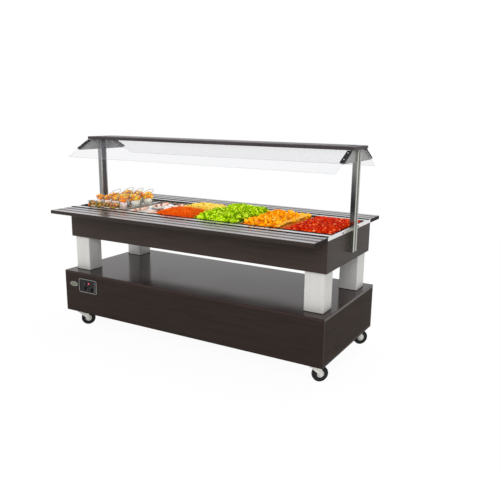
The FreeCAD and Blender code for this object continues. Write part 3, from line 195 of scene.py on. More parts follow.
def pattern(tree, scale, stretch=(1, 1, 1), detail=3.0):
    """A noise over Object coordinates that are first stretched along the axes."""
    coordinates = tree.nodes.new("ShaderNodeTexCoord")
    mapping = wire(tree, "Mapping", {"Vector": coordinates.outputs["Object"], "Scale": stretch})
    return wire(tree, "TexNoise", {"Vector": mapping, "Scale": scale, "Detail": detail}).outputs[0]


def clouded(tree, shader, low, high, scale, detail=3.0):
    """Lets the roughness drift between two values in soft clouds."""
    cloud = pattern(tree, scale, detail=detail)
    tree.links.new(ranged(tree, cloud, low, high), shader.inputs["Roughness"])


def colored(tree, shader, source, *stops):
    """Colours the shader by a noise: each stop is a place from 0 to 1 and a colour."""
    ramp = wire(tree, "ValToRGB", {"Fac": source})
    while len(ramp.color_ramp.elements) < len(stops):
        ramp.color_ramp.elements.new(0.5)
    for element, (place, color) in zip(ramp.color_ramp.elements, stops):
        element.position = place
        element.color = color
    tree.links.new(ramp.outputs["Color"], shader.inputs["Base Color"])


def relief(tree, shader, source, depth, strength=1.0):
    """Raises the surface by a noise, to a depth in metres."""
    bump = wire(tree, "Bump", {"Height": source, "Distance": depth, "Strength": strength})
    tree.links.new(bump.outputs["Normal"], shader.inputs["Normal"])


def shaded(color, factor):
    """A colour with its channels times a factor."""
    return (*[factor * channel for channel in color[:3]], 1.0)


def dress(material, *names):
    """Gives CAD nodes a material."""
    for name in names:
        NODES[name].data.materials.clear()
        NODES[name].data.materials.append(material)


BASE_WENGE = tone(42, 34, 30)
TOP_WENGE = tone(44, 33, 31)
END_WENGE = tone(49, 40, 34)
WELL_WENGE = tone(54, 45, 41)
TRAY_WENGE = tone(48, 41, 38)
ROOF_WENGE = tone(62, 56, 58)
TOP_GLEAM = (1.0, 0.87, 0.87, 1.0)
GRAIN_SCALE = 14.0
ALONG_X = (0.3, 5.0, 5.0)
ALONG_Y = (5.0, 0.3, 5.0)


def laminate(name, shade, grain, roughness, specular, **constants):
    """Wenge laminate: long thin grain streaks, a fine pore relief and a satin lacquer."""
    material, tree, shader = start(name, shade, roughness, Specular_IOR_Level=specular, **constants)
    streaks = pattern(tree, GRAIN_SCALE, grain, detail=6.0)
    colored(tree, shader, streaks, (0.3, shaded(shade, 0.84)), (0.5, shade), (0.72, shaded(shade, 1.14)))
    clouded(tree, shader, roughness - 0.03, roughness + 0.04, scale=3.0, detail=2.0)
    relief(tree, shader, pattern(tree, 90.0, grain, detail=2.0), 0.00002, 0.3)
    return material


dress(laminate("wenge_laminate_base", BASE_WENGE, ALONG_X, 0.42, 0.06),
      "base_front_panel", "base_rear_panel", "base_floor_panel")
dress(laminate("wenge_laminate_well", WELL_WENGE, ALONG_X, 0.42, 0.12),
      "well_front_panel", "well_rear_panel", "well_floor_panel")
dress(laminate("wenge_laminate_base_ends", END_WENGE, ALONG_Y, 0.5, 0.02), "base_end_panels")
dress(laminate("wenge_laminate_well_ends", END_WENGE, ALONG_Y, 0.42, 0.12), "well_end_panels")
dress(laminate("wenge_laminate_trays", TRAY_WENGE, ALONG_X, 0.3, 0.10),
      "front_tray_board", "rear_tray_board")
dress(laminate("wenge_laminate_roof", ROOF_WENGE, ALONG_X, 0.45, 0.10), "canopy_roof")
dress(laminate("wenge_laminate_top", TOP_WENGE, ALONG_X, 0.15, 0.17, Specular_Tint=TOP_GLEAM),
      "base_top_panel")


# --------------------------------------
# Sheet steel: the deck with its basin, the pans and their support bars are brushed stainless
# sheet; the deck is brushed along its length and the pans are drawn and left satin.
def steel(name, color, roughness, grain, metallic=1.0):
    """Brushed steel: fine scratches along one way, with cloudy changes of polish."""
    material, tree, shader = start(name, color, roughness, Metallic=metallic)
    lines = pattern(tree, 260.0, grain)
    colored(tree, shader, lines, (0.25, shaded(color, 0.88)), (0.7, color))
    clouded(tree, shader, roughness - 0.04, roughness + 0.06, scale=5.0)
    relief(tree, shader, lines, 0.00001, 0.6)
    return material


BRUSHED_X = (0.02, 1.0, 1.0)
BRUSHED_Z = (1.0, 1.0, 0.02)
SATIN = (1.0, 1.0, 1.0)
DECK_STEEL = (0.78, 0.77, 0.77, 1.0)
PAN_STEEL = (0.72, 0.72, 0.72, 1.0)
# The skewer pan takes the same steel coloured darker, as painted shade between its plates.
SKEWER_PAN_SHADED_STEEL = (0.42, 0.42, 0.41, 1.0)
dress(steel("deck_steel", DECK_STEEL, 0.27, BRUSHED_X), "well_tank", "pan_support_bars")
dress(steel("pan_steel", PAN_STEEL, 0.24, SATIN),
      "cup_pan", "carrot_pan", "corn_pan", "lettuce_pan", "orange_pan", "tomato_pan")
dress(steel("skewer_pan_painted_shade", SKEWER_PAN_SHADED_STEEL, 0.3, SATIN), "skewer_pan")


# --------------------------------------
# Pillars: four square tubes of satin steel between the base and the well, brushed upright, each
# bedded on a thin black rubber gasket at its foot and at its head.
def piece(name, form, material, body="trolley", replaces=(), smooth=True, tint=None):
    """Makes one object from a form, which is its points and its faces, and hangs it on its body.

    A tint is one value for all, one a point, or a column with one a copy.
    """
    points, faces = form
    mesh = bpy.data.meshes.new(name)
    mesh.from_pydata(points.reshape(-1, 3), [], faces)
    mesh.polygons.foreach_set("use_smooth", np.full(len(faces), smooth))
    if tint is not None:
        tints = np.broadcast_to(tint, points.shape[:-1]).ravel()
        mesh.attributes.new("tint", "FLOAT", "POINT").data.foreach_set("value", tints)
    mesh.materials.append(material)
    made = bpy.data.objects.new(name, mesh)
    bpy.context.scene.collection.objects.link(made)
    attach(made, body)
    if replaces:
        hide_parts(*replaces)
    return made


def skin(rings, joined=False):
    """The form over a row of rings that turn anticlockwise about the way on.

    Each ring is joined to the next. The end rings are joined too, or closed by strips across.
    """
    count, around = rings.shape[:2]
    row = np.arange(count if joined else count - 1)[:, None]
    ahead = (row + 1) % count
    here = np.arange(around)
    after = (here + 1) % around
    sides = np.stack([row * around + here, row * around + after,
                      ahead * around + after, ahead * around + here], -1).reshape(-1, 4)
    if joined:
        return rings.reshape(-1, 3), sides
    across = np.arange(around // 2 - 1)
    cap = np.stack([across, across + 1, around - 2 - across, around - 1 - across], -1)
    return rings.reshape(-1, 3), np.concatenate([sides, cap[:, ::-1], cap + (count - 1) * around])


def circle(steps, ahead=0.0):
    """Points of a flat circle of radius 1, the first one a share of a step ahead of the X axis."""
    angle = (np.arange(steps) + ahead) * 2 * math.pi / steps
    return np.stack([np.cos(angle), np.sin(angle)], -1)


def round_rectangle(half_wide, half_high, corner, steps=6):
    """A rectangle with round corners: four quarter circles, each about its corner's own centre.

    The outline runs anticlockwise. It comes with its outward directions.
    """
    quarter = np.linspace(0, math.pi / 2, steps)
    angle = (quarter + np.arange(4)[:, None] * math.pi / 2).ravel()
    side_x = np.repeat([1, -1, -1, 1], steps)
    side_y = np.repeat([1, 1, -1, -1], steps)
    outward = np.stack([np.cos(angle), np.sin(angle)], -1)
    centre = np.stack([side_x * (half_wide - corner), side_y * (half_high - corner)], -1)
    return centre + corner * outward, outward


def bead(outline, outward, half_wide, half_thick, steps=8):
    """A rounded bead along a closed flat outline. Each ring is an ellipse about a point of the
    outline: half_wide along the outward direction, half_thick out of the outline's plane."""
    cosine, sine = circle(steps).T
    flat = outline[:, None] + half_wide * outward[:, None] * sine[None, :, None]
    lift = np.broadcast_to(half_thick * cosine, flat.shape[:2])
    return skin(np.concatenate([flat, lift[..., None]], -1), joined=True)


def repeated(faces, count, size):
    """The faces of a number of copies of a form with the given number of points."""
    return (faces + np.arange(count)[:, None, None] * size).reshape(-1, 4)


def copied(form, places, turns=np.eye(3)[None]):
    """Copies of one form: each is the form's points times its turn, moved to its place."""
    shape, faces = form
    points = np.einsum("nij,pj->npi", turns, shape) + np.asarray(places)[:, None, :]
    return points, repeated(faces, len(points), len(shape))


def paint(name, color, roughness, speckle=0.03, specular=0.4, metallic=0.0):
    """Sprayed paint or moulded plastic: a faint mottle and an orange-peel relief."""
    material, tree, shader = start(name, color, roughness, Specular_IOR_Level=specular,
                                   Metallic=metallic)
    mottle = pattern(tree, 60.0)
    colored(tree, shader, mottle, (0.3, shaded(color, 1 - 4 * speckle)), (0.7, color))
    clouded(tree, shader, roughness - 0.04, roughness + 0.06, scale=9.0)
    relief(tree, shader, pattern(tree, 420.0, detail=1.0), 0.00006, 0.5)
    return material


dress(steel("pillar_steel", tone(202, 201, 198), 0.42, BRUSHED_Z, metallic=0.3), "pillars")

PILLAR_SIZE = 0.126
GASKET = 0.0016
GASKET_CORNER = 0.006
low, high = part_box("pillars")
gasket_half = PILLAR_SIZE / 2 + GASKET / 2
gasket = bead(*round_rectangle(gasket_half, gasket_half, GASKET_CORNER), GASKET, GASKET)
places = [((high[0] - PILLAR_SIZE / 2) * side_x, (high[1] - PILLAR_SIZE / 2) * side_y, z)
          for side_x in (-1, 1) for side_y in (-1, 1) for z in (low[2] + GASKET, high[2] - GASKET)]
rubber = paint("gasket_rubber", tone(32, 31, 31), 0.7, specular=0.2)
piece("pillar_gaskets", copied(gasket, places), rubber)


# --------------------------------------
# Painted shadow in the gaps: a black bead laid round the deck's opening, between its edge and the
# pans, and a flat black strip along each long edge of the deck, next to the tray boards, both
# standing for the dark shadow lines in those gaps.
GAP_SHADOW_HALF = np.array([0.0024, 0.0060])
GAP_SHADOW_THICK = 0.0042
GAP_SHADOW_CLEARANCE = 0.0004
GAP_SHADOW_CORNER = 0.004
GAP_SHADOW_LIFT = 0.0052
pans_high = np.array(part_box("tomato_pan")[1])
gap_shadow_outline = round_rectangle(*(pans_high[:2] + GAP_SHADOW_HALF + GAP_SHADOW_CLEARANCE), GAP_SHADOW_CORNER)
gap_shadow_bead = bead(*gap_shadow_outline, GAP_SHADOW_HALF, GAP_SHADOW_THICK)
# A near-black finish, as painted shadow in the gaps round the pans and along the deck's edges.
gap_shadow_black = paint("gap_shadow_black", tone(16, 15, 15), 0.6, specular=0.04)
piece("pan_gap_shadow", copied(gap_shadow_bead, [(0, 0, pans_high[2] + GAP_SHADOW_LIFT)]), gap_shadow_black)

LIP_HALF = (0.0135, 0.0026)
LIP_END_GAP = 0.004
LIP_INSET = 0.015
LIP_LIFT = 0.0004
deck_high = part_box("well_tank")[1]
lip_end = (deck_high[0] - LIP_END_GAP, 0, 0)
section = np.column_stack([np.zeros(8), circle(8) * LIP_HALF])  # an ellipse, carried along X
lip_gap_shadow = skin(np.stack([section - lip_end, section + lip_end]))
places = [(0, side * (deck_high[1] - LIP_INSET), deck_high[2] + LIP_LIFT) for side in (-1, 1)]
piece("deck_edge_gap_shadows", copied(lip_gap_shadow, places), gap_shadow_black)


# --------------------------------------
# Tray rails and hinges: flat steel rails let into the tray boards, brushed along their length,
# on butt hinges below the boards, coloured near-black as painted shade under the boards. A thin
# band is glued over each board's ends.
dress(steel("rail_steel", tone(168, 164, 169), 0.24, BRUSHED_X), "front_tray_rails")
# The rear rails are the same steel coloured darker, as painted shade on the rear tray.
dress(steel("rail_steel_rear_shaded", tone(150, 147, 151), 0.20, BRUSHED_X), "rear_tray_rails")
# The hinges are near-black, as painted shade under the boards.
dress(paint("hinge_painted_shade", tone(40, 38, 37), 0.45, specular=0.25), "tray_hinges")

BAND = 0.0006
BAND_INSET = (0.003, 0.001)
BAND_CORNER = 0.002
band_wenge = laminate("edge_band_wenge", tone(26, 22, 19), ALONG_Y, 0.5, 0.03)
for body in ("front_tray", "rear_tray"):
    low, high = np.array(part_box(body + "_board"))
    outline = round_rectangle(*((high - low)[1:] / 2 - BAND_INSET), BAND_CORNER)[0]
    outline = outline + (low + high)[1:] / 2
    ends = np.array([[np.column_stack([np.full(len(outline), x), outline]) for x in span]
                     for span in ((high[0], high[0] + BAND), (low[0] - BAND, low[0]))])
    faces = repeated(skin(ends[0])[1], 2, 2 * len(outline))
    piece(body + "_end_bands", (ends, faces), band_wenge, body, smooth=False)


# --------------------------------------
# Canopy: extruded aluminium posts with two ribs down each broad face, a darker strip down each
# narrow one, which is a painted dark reflection, and a grey channel down the inner one, whose grey
# is painted shade inside the slot. A laminate cap is glued on the roof board.
POST_DEPTH = 0.030
POST_TRIM = (0.001, 0.002)
RIB_HALF = (0.0022, 1.7 * 0.0022)
RIB_SPREAD = 0.0225
CHANNEL_HALF = (0.0006, 0.0205)
STRIP_HALF = (0.0118, 0.0004)
STRIP_TRIM = 0.002
RECTANGLE = np.array([(1, 1), (-1, 1), (-1, -1), (1, -1)])
dress(steel("post_aluminium", tone(184, 185, 176), 0.15, BRUSHED_Z), "canopy_posts")


def at_height(outline, z):
    """A flat outline with all its points at one height."""
    return np.column_stack([outline, np.full(len(outline), z)])


def upright_strip(section, foot, head):
    """A strip of one flat section, whose points turn anticlockwise, from a foot to a head."""
    return skin(np.stack([at_height(section, foot), at_height(section, head)]))


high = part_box("canopy_posts")[1]
inner_face = high[0] - POST_DEPTH
post_foot = deck_high[2] + POST_TRIM[0]
post_head = high[2] - POST_TRIM[1]
places = [(face * side, spread, 0) for face in (inner_face, high[0]) for side in (-1, 1)
          for spread in (-RIB_SPREAD, RIB_SPREAD)]
piece("post_ribs", copied(upright_strip(circle(8, 0.5) * RIB_HALF, post_foot, post_head), places),
      steel("rib_aluminium", tone(190, 190, 190), 0.3, BRUSHED_Z, metallic=0.5))

# A darker strip down each narrow face: a painted dark reflection.
strip_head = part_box("canopy_brackets")[0][2] - STRIP_TRIM
face_strip = upright_strip(RECTANGLE * STRIP_HALF, post_foot + STRIP_TRIM, strip_head)
places = [(side * (inner_face + high[0]) / 2, end * high[1], 0) for side in (-1, 1) for end in (-1, 1)]
piece("post_face_reflection_strips", copied(face_strip, places),
      steel("post_strip_painted_reflection", tone(138, 138, 138), 0.15, BRUSHED_Z),
      smooth=False)

# A grey strip down the inner face stands for the slot there; its grey is painted shade inside the slot.
channel = upright_strip(RECTANGLE * CHANNEL_HALF, post_foot, post_head)
piece("post_channels", copied(channel, [(-inner_face, 0, 0), (inner_face, 0, 0)]),
      paint("channel_slot_shade", tone(82, 82, 86), 0.4, specular=0.15), smooth=False)

CAP_HALF = (0.97, 0.10)
CAP_CORNER = 0.006
CAP_THICK = 0.002
CAP_BEVEL = 0.001
roof_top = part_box("canopy_roof")[1][2]
outline, outward = round_rectangle(*CAP_HALF, CAP_CORNER)
levels = [(0, 0), (0, CAP_THICK - CAP_BEVEL), (CAP_BEVEL, CAP_THICK)]
cap_rings = np.stack([at_height(outline - inset * outward, roof_top + lift) for inset, lift in levels])
piece("roof_cap", skin(cap_rings), laminate("wenge_laminate_cap", ROOF_WENGE, ALONG_X, 0.4, 0.2),
      smooth=False)


# --------------------------------------
# Glass holders: painted end brackets with near-white screws, a painted glint, black clamp strips
# held by small bright screws, and clear panes with polished edges. Dark screws hold the deck's end lips.
dress(paint("bracket_grey", tone(156, 156, 155), 0.4, specular=0.2), "canopy_brackets")
dress(paint("clamp_black", tone(15, 15, 16), 0.5, specular=0.15), "glass_clamps")


def lathed(profile, steps=24):
    """A profile of (radius, height) pairs turned about Z, from its foot up and round."""
    radius, height = np.array(profile).T
    flat = radius[:, None, None] * circle(steps)
    return np.concatenate([flat, np.broadcast_to(height[:, None, None], (*flat.shape[:2], 1))], -1)


def facing(direction):
    """The turn that carries the Z axis to a direction."""
    return np.array(Vector(direction).to_track_quat("Z", "Y").to_matrix())


def screws(name, places, directions, radius, material):
    """Pan-head screws: a low dome with a dimple for its socket, on each place."""
    dome = np.array([(1, 0), (1, 0.35), (0.8, 0.6), (0.42, 0.7), (0.36, 0.35), (0.05, 0.3)]) * radius
    turns = np.stack([facing(direction) for direction in directions])
    piece(name, copied(skin(lathed(dome, 12)), places, turns), material)


def end_screws(name, x, z, spread, way, radius, material):
    """Two screws on each end of the trolley, facing out of it (way 1) or back to it (way -1)."""
    spots = [(side, across) for side in (-1, 1) for across in (-spread, spread)]
    screws(name, [(side * x, across, z) for side, across in spots],
           [(side * way, 0, 0) for side, across in spots], radius, material)


CLAMP_FALL = math.radians(28.3)
CLAMP_INSET = 0.015
CLAMP_TOP_DROP = np.array([-0.0018, 0.0036])
CLAMP_HEAD_Y = 0.1262
CLAMP_SCREW = 0.0038
low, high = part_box("glass_clamps")
clamp_foot = np.array([high[1], low[2]]) + CLAMP_TOP_DROP
clamp_head = np.array([CLAMP_HEAD_Y, high[2]])
spots = [(side_x, side_y, *(clamp_foot + share * (clamp_head - clamp_foot)))
         for side_x in (-1, 1) for side_y in (-1, 1) for share in (0.22, 0.78)]
screws("clamp_screws", [(side_x * (high[0] - CLAMP_INSET), side_y * y, z) for side_x, side_y, y, z in spots],
       [(0, side_y * math.sin(CLAMP_FALL), math.cos(CLAMP_FALL)) for side_x, side_y, y, z in spots],
       CLAMP_SCREW, steel("screw_steel", tone(205, 205, 205), 0.3, BRUSHED_Z, metallic=0.6))


def glass(name, color, roughness, low, high, scale, **constants):
    """Clear glass with a faint drift of its polish."""
    material, tree, shader = start(name, color, roughness, **constants)
    clouded(tree, shader, low, high, scale)
    return material, tree, shader


pane = glass("pane_glass", tone(130, 132, 146), 0.05, low=0.03, high=0.07, scale=4.0, IOR=1.45,
             Alpha=0.078)[0]
dress(pane, "front_glass", "rear_glass")


def rod(foot, head, radius):
    """A round rod from one place to another: a ring at each end, square to the way between."""
    ring = radius * at_height(circle(8), 0)
    turn = facing(np.subtract(head, foot))
    return np.stack([ring @ turn.T + foot, ring @ turn.T + head])


EDGE_RADIUS = 0.0022
EDGE_INSET = (0.0015, 0.0022)
low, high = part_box("rear_glass")
edge_rods = []
for side in (-1, 1):
    foot = (side * (high[1] - EDGE_INSET[0]), low[2] + EDGE_INSET[1])
    head = (side * (low[1] + EDGE_INSET[0]), high[2] - EDGE_INSET[1])
    edge_rods.append(rod((low[0], *foot), (high[0], *foot), EDGE_RADIUS))
    edge_rods += [rod((x, *foot), (x, *head), EDGE_RADIUS) for x in (low[0], high[0])]
edge_faces = repeated(skin(edge_rods[0])[1], len(edge_rods), 16)
polish = glass("pane_edge_polish", tone(190, 194, 196), 0.1, low=0.06, high=0.16, scale=40.0,
               Alpha=0.15)[0]
piece("pane_edges", (np.stack(edge_rods), edge_faces), polish)

BRACKET_WALL = 0.0132
BRACKET_SCREW_Z = 1.339
LIP_SCREW = (0.0002, 0.012)
# The bracket screws are near-white, as a painted glint.
end_screws("bracket_screws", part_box("canopy_brackets")[1][0] - BRACKET_WALL, BRACKET_SCREW_Z,
           spread=0.045, way=-1, radius=0.008,
           material=paint("screw_painted_glint", tone(244, 244, 244), 0.4))
end_screws("deck_lip_screws", deck_high[0] + LIP_SCREW[0], deck_high[2] - LIP_SCREW[1],
           spread=0.13, way=1, radius=0.005, material=paint("screw_dark", tone(60, 58, 57), 0.4))


# --------------------------------------
# Castors: zinc-plated pressed forks and plates, pale plastic hubs and black rubber tyres. Each
# plate is bolted under a corner of the base, and its fork swivels on a kingpin.
CORNERS = ("front_left", "front_right", "rear_left", "rear_right")
dress(paint("castor_zinc", tone(222, 220, 215), 0.42, metallic=0.15), "castor_plates",
      *["castor_fork_" + corner for corner in CORNERS])
dress(paint("hub_grey", tone(208, 208, 203), 0.5), *["castor_hub_" + corner for corner in CORNERS])
dress(paint("tyre_rubber", tone(26, 26, 27), 0.6, specular=0.2),
      *["castor_tyre_" + corner for corner in CORNERS])


# --------------------------------------
# Machinery behind the boards: a black enamelled compressor, finned aluminium coils and a plastic
# fan in the base, and cast foam round the well's basin.
dress(paint("compressor_enamel", tone(26, 26, 28), 0.28), "compressor")
dress(steel("coil_aluminium", tone(190, 190, 192), 0.35, BRUSHED_Z), "condenser", "evaporator_coil")
dress(paint("fan_plastic", tone(40, 40, 42), 0.45), "condenser_fan")
dress(paint("foam_cream", tone(236, 224, 180), 0.9, specular=0.1), "well_insulation")


# --------------------------------------
# Controls: a dark plate in a silver bezel, with a rocker switch, a pilot lamp and two knobs that
# have pale marks round them. Left of it sits a bare oval plate with a raised silver rim.
dress(paint("control_black", tone(32, 31, 31), 0.4, specular=0.12), "control_plate")
dress(paint("rocker_black", tone(22, 22, 23), 0.3), "power_rocker")
dress(paint("knob_black", tone(24, 24, 26), 0.4, specular=0.3), "thermostat_knob", "light_knob")
dress(paint("lamp_red", tone(226, 78, 100), 0.15), "pilot_lamp")

FRONT = np.array([[1, 0, 0], [0, 0, -1], [0, 1, 0]])  # Y turned up and Z turned to the front
silver = steel("bezel_silver", tone(150, 152, 150), 0.3, SATIN, metallic=0.7)


def on_front(name, form, centre, material):
    """Carries a form drawn in a flat plane, with Z towards the viewer, to the base's front."""
    points, faces = form
    piece(name, (points @ FRONT.T + centre, faces), material)


BEZEL_HALF = (0.0022, 0.0018)
BEZEL_CORNER = 0.012
low, high = np.array(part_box("control_plate"))
plate_middle = np.array([(low[0] + high[0]) / 2, low[1], (low[2] + high[2]) / 2])
bezel_outline = round_rectangle(*((high - low)[[0, 2]] / 2 - BEZEL_HALF[0]), BEZEL_CORNER)
on_front("control_bezel", bead(*bezel_outline, *BEZEL_HALF), plate_middle, silver)

MARK = (0.0042, 0.0011, 0.001)
MARK_BEAD = (0.0006, 0.0004)
MARK_SCALE = 0.55
MARK_RADIUS = 0.0195
MARK_ANGLES = np.radians([225, 180, 135, 90, 45, 0, -45])
mark = bead(*round_rectangle(*MARK, 3), *MARK_BEAD, 6)
mark_places, mark_turns = [], []
for knob in ("thermostat_knob", "light_knob"):
    low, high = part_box(knob)
    centre = np.array([(low[0] + high[0]) / 2, plate_middle[1] - 0.0002, (low[2] + high[2]) / 2])
    for angle in MARK_ANGLES:
        along = np.array([math.cos(angle), 0, math.sin(angle)])
        aside = np.array([-math.sin(angle), 0, math.cos(angle)])
        mark_places.append(centre + MARK_RADIUS * along)
        mark_turns.append(MARK_SCALE * np.stack([along, aside, (0, -1, 0)], -1))
mark_white = paint("mark_white", tone(190, 190, 188), 0.5)
piece("knob_marks", copied(mark, mark_places, np.array(mark_turns)), mark_white)

DIVIDER = (0.005, 0.034, 0.003)
DIVIDER_BEAD = 0.0009
DIVIDER_PLACE = (0.068, -0.0002, 0.0)
on_front("control_strip", bead(*round_rectangle(*DIVIDER), DIVIDER_BEAD, DIVIDER_BEAD),
         plate_middle + DIVIDER_PLACE, silver)

OVAL_CENTRE = np.array([-0.938, -0.42, 0.331])
OVAL_HALF = (0.0370, 0.0155)
OVAL_RIM = 0.0022
# The plate's dome: shares of its outline with the height of each.
OVAL_DOME = ((1, 0.0002), (0.97, 0.0014), (0.6, 0.0022), (0.02, 0.0024))
outward = circle(48)
outline = outward * OVAL_HALF
on_front("oval_plate_rim", bead(outline, outward, OVAL_RIM, OVAL_RIM), OVAL_CENTRE, silver)
olive = paint("oval_plate_olive", tone(112, 113, 98), 0.4, metallic=0.3, specular=0.2)
dome = np.stack([at_height(outline * share, lift) for share, lift in OVAL_DOME])
on_front("oval_plate", skin(dome), OVAL_CENTRE, olive)


# --------------------------------------
# Grated carrot: a pan of loose curved shreds over a packed bed of the same, coloured darker as painted
# shade, filled to its edges.
# The food only lies in its pan and is lifted out with it.
chance = np.random.default_rng(7)
FILL_TOP = 0.8775
WALL_SLOPE = math.tan(math.radians(3.0))


def grid(rows, columns):
    """A flat sheet: its points' places from -1 to 1 each way, and the faces between them."""
    along, across = np.meshgrid(np.linspace(-1, 1, rows + 1), np.linspace(-1, 1, columns + 1),
                                indexing="ij")
    corner = (np.arange(rows)[:, None] * (columns + 1) + np.arange(columns)).reshape(-1, 1)
    return along, across, corner + np.array([0, columns + 1, columns + 2, 1])


def lattice(steps):
    """The skin of a cube from -1 to 1, cut into steps by steps squares a side.

    Each side is a grid over two axes whose cross product points out of it. Shared edge points
    are merged.
    """
    first, second, cell = grid(steps, steps)
    sides, faces = [], []
    for axis in range(3):
        for end in (-1, 1):
            side = np.empty((steps + 1, steps + 1, 3))
            side[..., axis] = end
            side[..., (axis + 1) % 3] = first
            side[..., (axis + 2) % 3] = second
            faces.append((cell if end > 0 else cell[:, ::-1]) + len(sides) * (steps + 1) ** 2)
            sides.append(side.reshape(-1, 3))
    points, merged = np.unique(np.concatenate(sides), axis=0, return_inverse=True)
    return points, merged.reshape(-1)[np.concatenate(faces)]


def lump(power):
    """A cube's skin drawn to a rounded lump: each point is divided by its length in the given
    power, so that 2 gives a ball and 6 a dice with soft edges."""
    points, faces = lattice(2)
    return points / (np.abs(points) ** power).sum(-1, keepdims=True) ** (1 / power), faces


def turned(heading, tilt, roll, size):
    """Turn matrices: a size along each own axis, then roll about X, tilt about Y, heading about Z."""
    angles = np.array(np.broadcast_arrays(heading, tilt, roll), float)
    cos_a, cos_b, cos_c = np.cos(angles)
    sin_a, sin_b, sin_c = np.sin(angles)
    rows = [cos_a * cos_b, cos_a * sin_b * sin_c - sin_a * cos_c, cos_a * sin_b * cos_c + sin_a * sin_c,
            sin_a * cos_b, sin_a * sin_b * sin_c + cos_a * cos_c, sin_a * sin_b * cos_c - cos_a * sin_c,
            -sin_b, cos_b * sin_c, cos_b * cos_c]
    return np.stack(rows, -1).reshape(-1, 3, 3) * np.asarray(size)[:, None, :]


def tumbled(count, tilt, roll, least, most, around=2 * math.pi):
    """Turns by chance: a heading up to around, a normal spread of tilt and of roll, and a size
    from least to most along each own axis."""
    return turned(chance.uniform(0, around, count), chance.normal(0, tilt, count),
                  chance.normal(0, roll, count), chance.uniform(least, most, (count, 3)))


def strewn(columns, rows):
    """Places from -1 to 1 both ways: the cells of a grid, each place moved within its cell."""
    cell = np.stack(np.meshgrid(np.arange(columns), np.arange(rows), indexing="ij"), -1).reshape(-1, 2)
    return 2 * (cell + chance.uniform(0.1, 0.9, cell.shape)) / (columns, rows) - 1


def heap(share, crown, lumps, seed):
    """The height of a filled pan over its edge: a crown that falls off at a high power of the
    way to the edge, with lumps: a sine along times a cosine across, and 0.6 of a slanting sine."""
    x, y = np.clip(share[..., 0], -1, 1), np.clip(share[..., 1], -1, 1)
    dome = (1 - np.abs(x) ** 5) * (1 - np.abs(y) ** 7)
    roll = np.sin(5 * x + seed) * np.cos(4 * y - seed) + 0.6 * np.sin(9 * y + 6 * x + 2 * seed)
    return dome * (crown + lumps * roll)


class Filling:
    """One pan's food: where its bed lies and how high it is heaped."""

    def __init__(self, name, crown, lumps, seed):
        low, high = np.array(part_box(name + "_heap"))
        self.name = name
        self.centre = (low + high)[:2] / 2
        self.half = (high - low)[:2] / 2
        self.floor = low[2]
        self.crown, self.lumps, self.seed = crown, lumps, seed

    def on_top(self, share, lift):
        """Places on the heap, at a share of the half sizes each way, lifted off it."""
        flat = self.centre + share * self.half
        top = FILL_TOP + heap(share, self.crown, self.lumps, self.seed) + lift
        return np.column_stack([flat, top])

    def bed(self, material, drop):
        """A closed mound from the pan's floor to just under the heap's top.

        Its corners are drawn in by the eighth power of the product of both shares, and its sides
        lean in with the pan's walls, by the depth below the rim times the walls' slope.
        """
        points, faces = lattice(36)
        share = points[:, :2] * (1 - 0.05 * points[:, :2].prod(-1, keepdims=True) ** 8)
        top = self.on_top(share, -drop)
        top[:, 2] = self.floor + (top[:, 2] - self.floor) * (points[:, 2] + 1) / 2
        lean = WALL_SLOPE * np.maximum(FILL_TOP - top[:, 2:], 0)
        top[:, :2] = self.centre + share * (self.half - 0.001 - lean)
        piece(self.name + "_bed", (top, faces), material, self.name + "_pan",
              replaces=[self.name + "_heap"])

    def strew(self, name, form, turns, share, lift, material, tint):
        """Copies of one form at shares of the heap, each lifted off it and with its own tint."""
        return piece(name, copied(form, self.on_top(share, lift), turns), material,
                     self.name + "_pan", tint=tint)


def tinted(name, roughness, stops, mottle=0.25, scale=180.0, depth=0.0004, specular=0.5):
    """Wet food: a colour from each piece's own tint and a fine mottle, with a shallow relief.

    Each stop is a tint and the screen colour it gives.
    """
    ramp = [(place, tone(*color)) for place, *color in stops]
    material, tree, shader = start(name, ramp[-1][1], roughness, Specular_IOR_Level=specular)
    own = wire(tree, "Attribute", {}, attribute_name="tint").outputs["Fac"]
    noise = pattern(tree, scale)
    mixed = wire(tree, "Math", {0: own, 1: ranged(tree, noise, -mottle, mottle)}, operation="ADD")
    colored(tree, shader, mixed, *ramp)
    relief(tree, shader, noise, depth, 0.7)
    return material


def shaded_bed(name, dark, light, roughness=0.5):
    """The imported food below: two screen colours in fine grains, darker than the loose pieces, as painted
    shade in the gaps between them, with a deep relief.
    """
    material, tree, shader = start(name, tone(*light), roughness, Specular_IOR_Level=0.2)
    grains = pattern(tree, 150.0, detail=4.0)
    colored(tree, shader, grains, (0.35, tone(*dark)), (0.65, tone(*light)))
    relief(tree, shader, grains, 0.003, 1.0)
    return material


carrot = Filling("carrot", crown=0.030, lumps=0.0025, seed=1.0)
carrot.bed(shaded_bed("carrot_packed_shade", (206, 60, 4), (240, 88, 12)), drop=0.003)

SHRED_LENGTH = 0.026
SHRED_HALF = 0.0014


def shred():
    """A curved shred: its spine bows by the square of the place along it and waves by a sine, and
    its four-sided section thins towards both ends by the cube of the way to them."""
    bow = np.linspace(-0.5, 0.5, 7)
    spine = np.stack([bow, 0.55 * bow ** 2, 0.10 * np.sin(5 * bow)], -1) * SHRED_LENGTH
    ring = SHRED_HALF * np.column_stack([np.zeros(4), circle(4)])
    thin = (1 - 0.55 * (2 * np.abs(bow)) ** 3)[:, None, None]
    return skin(spine[:, None] + thin * ring)


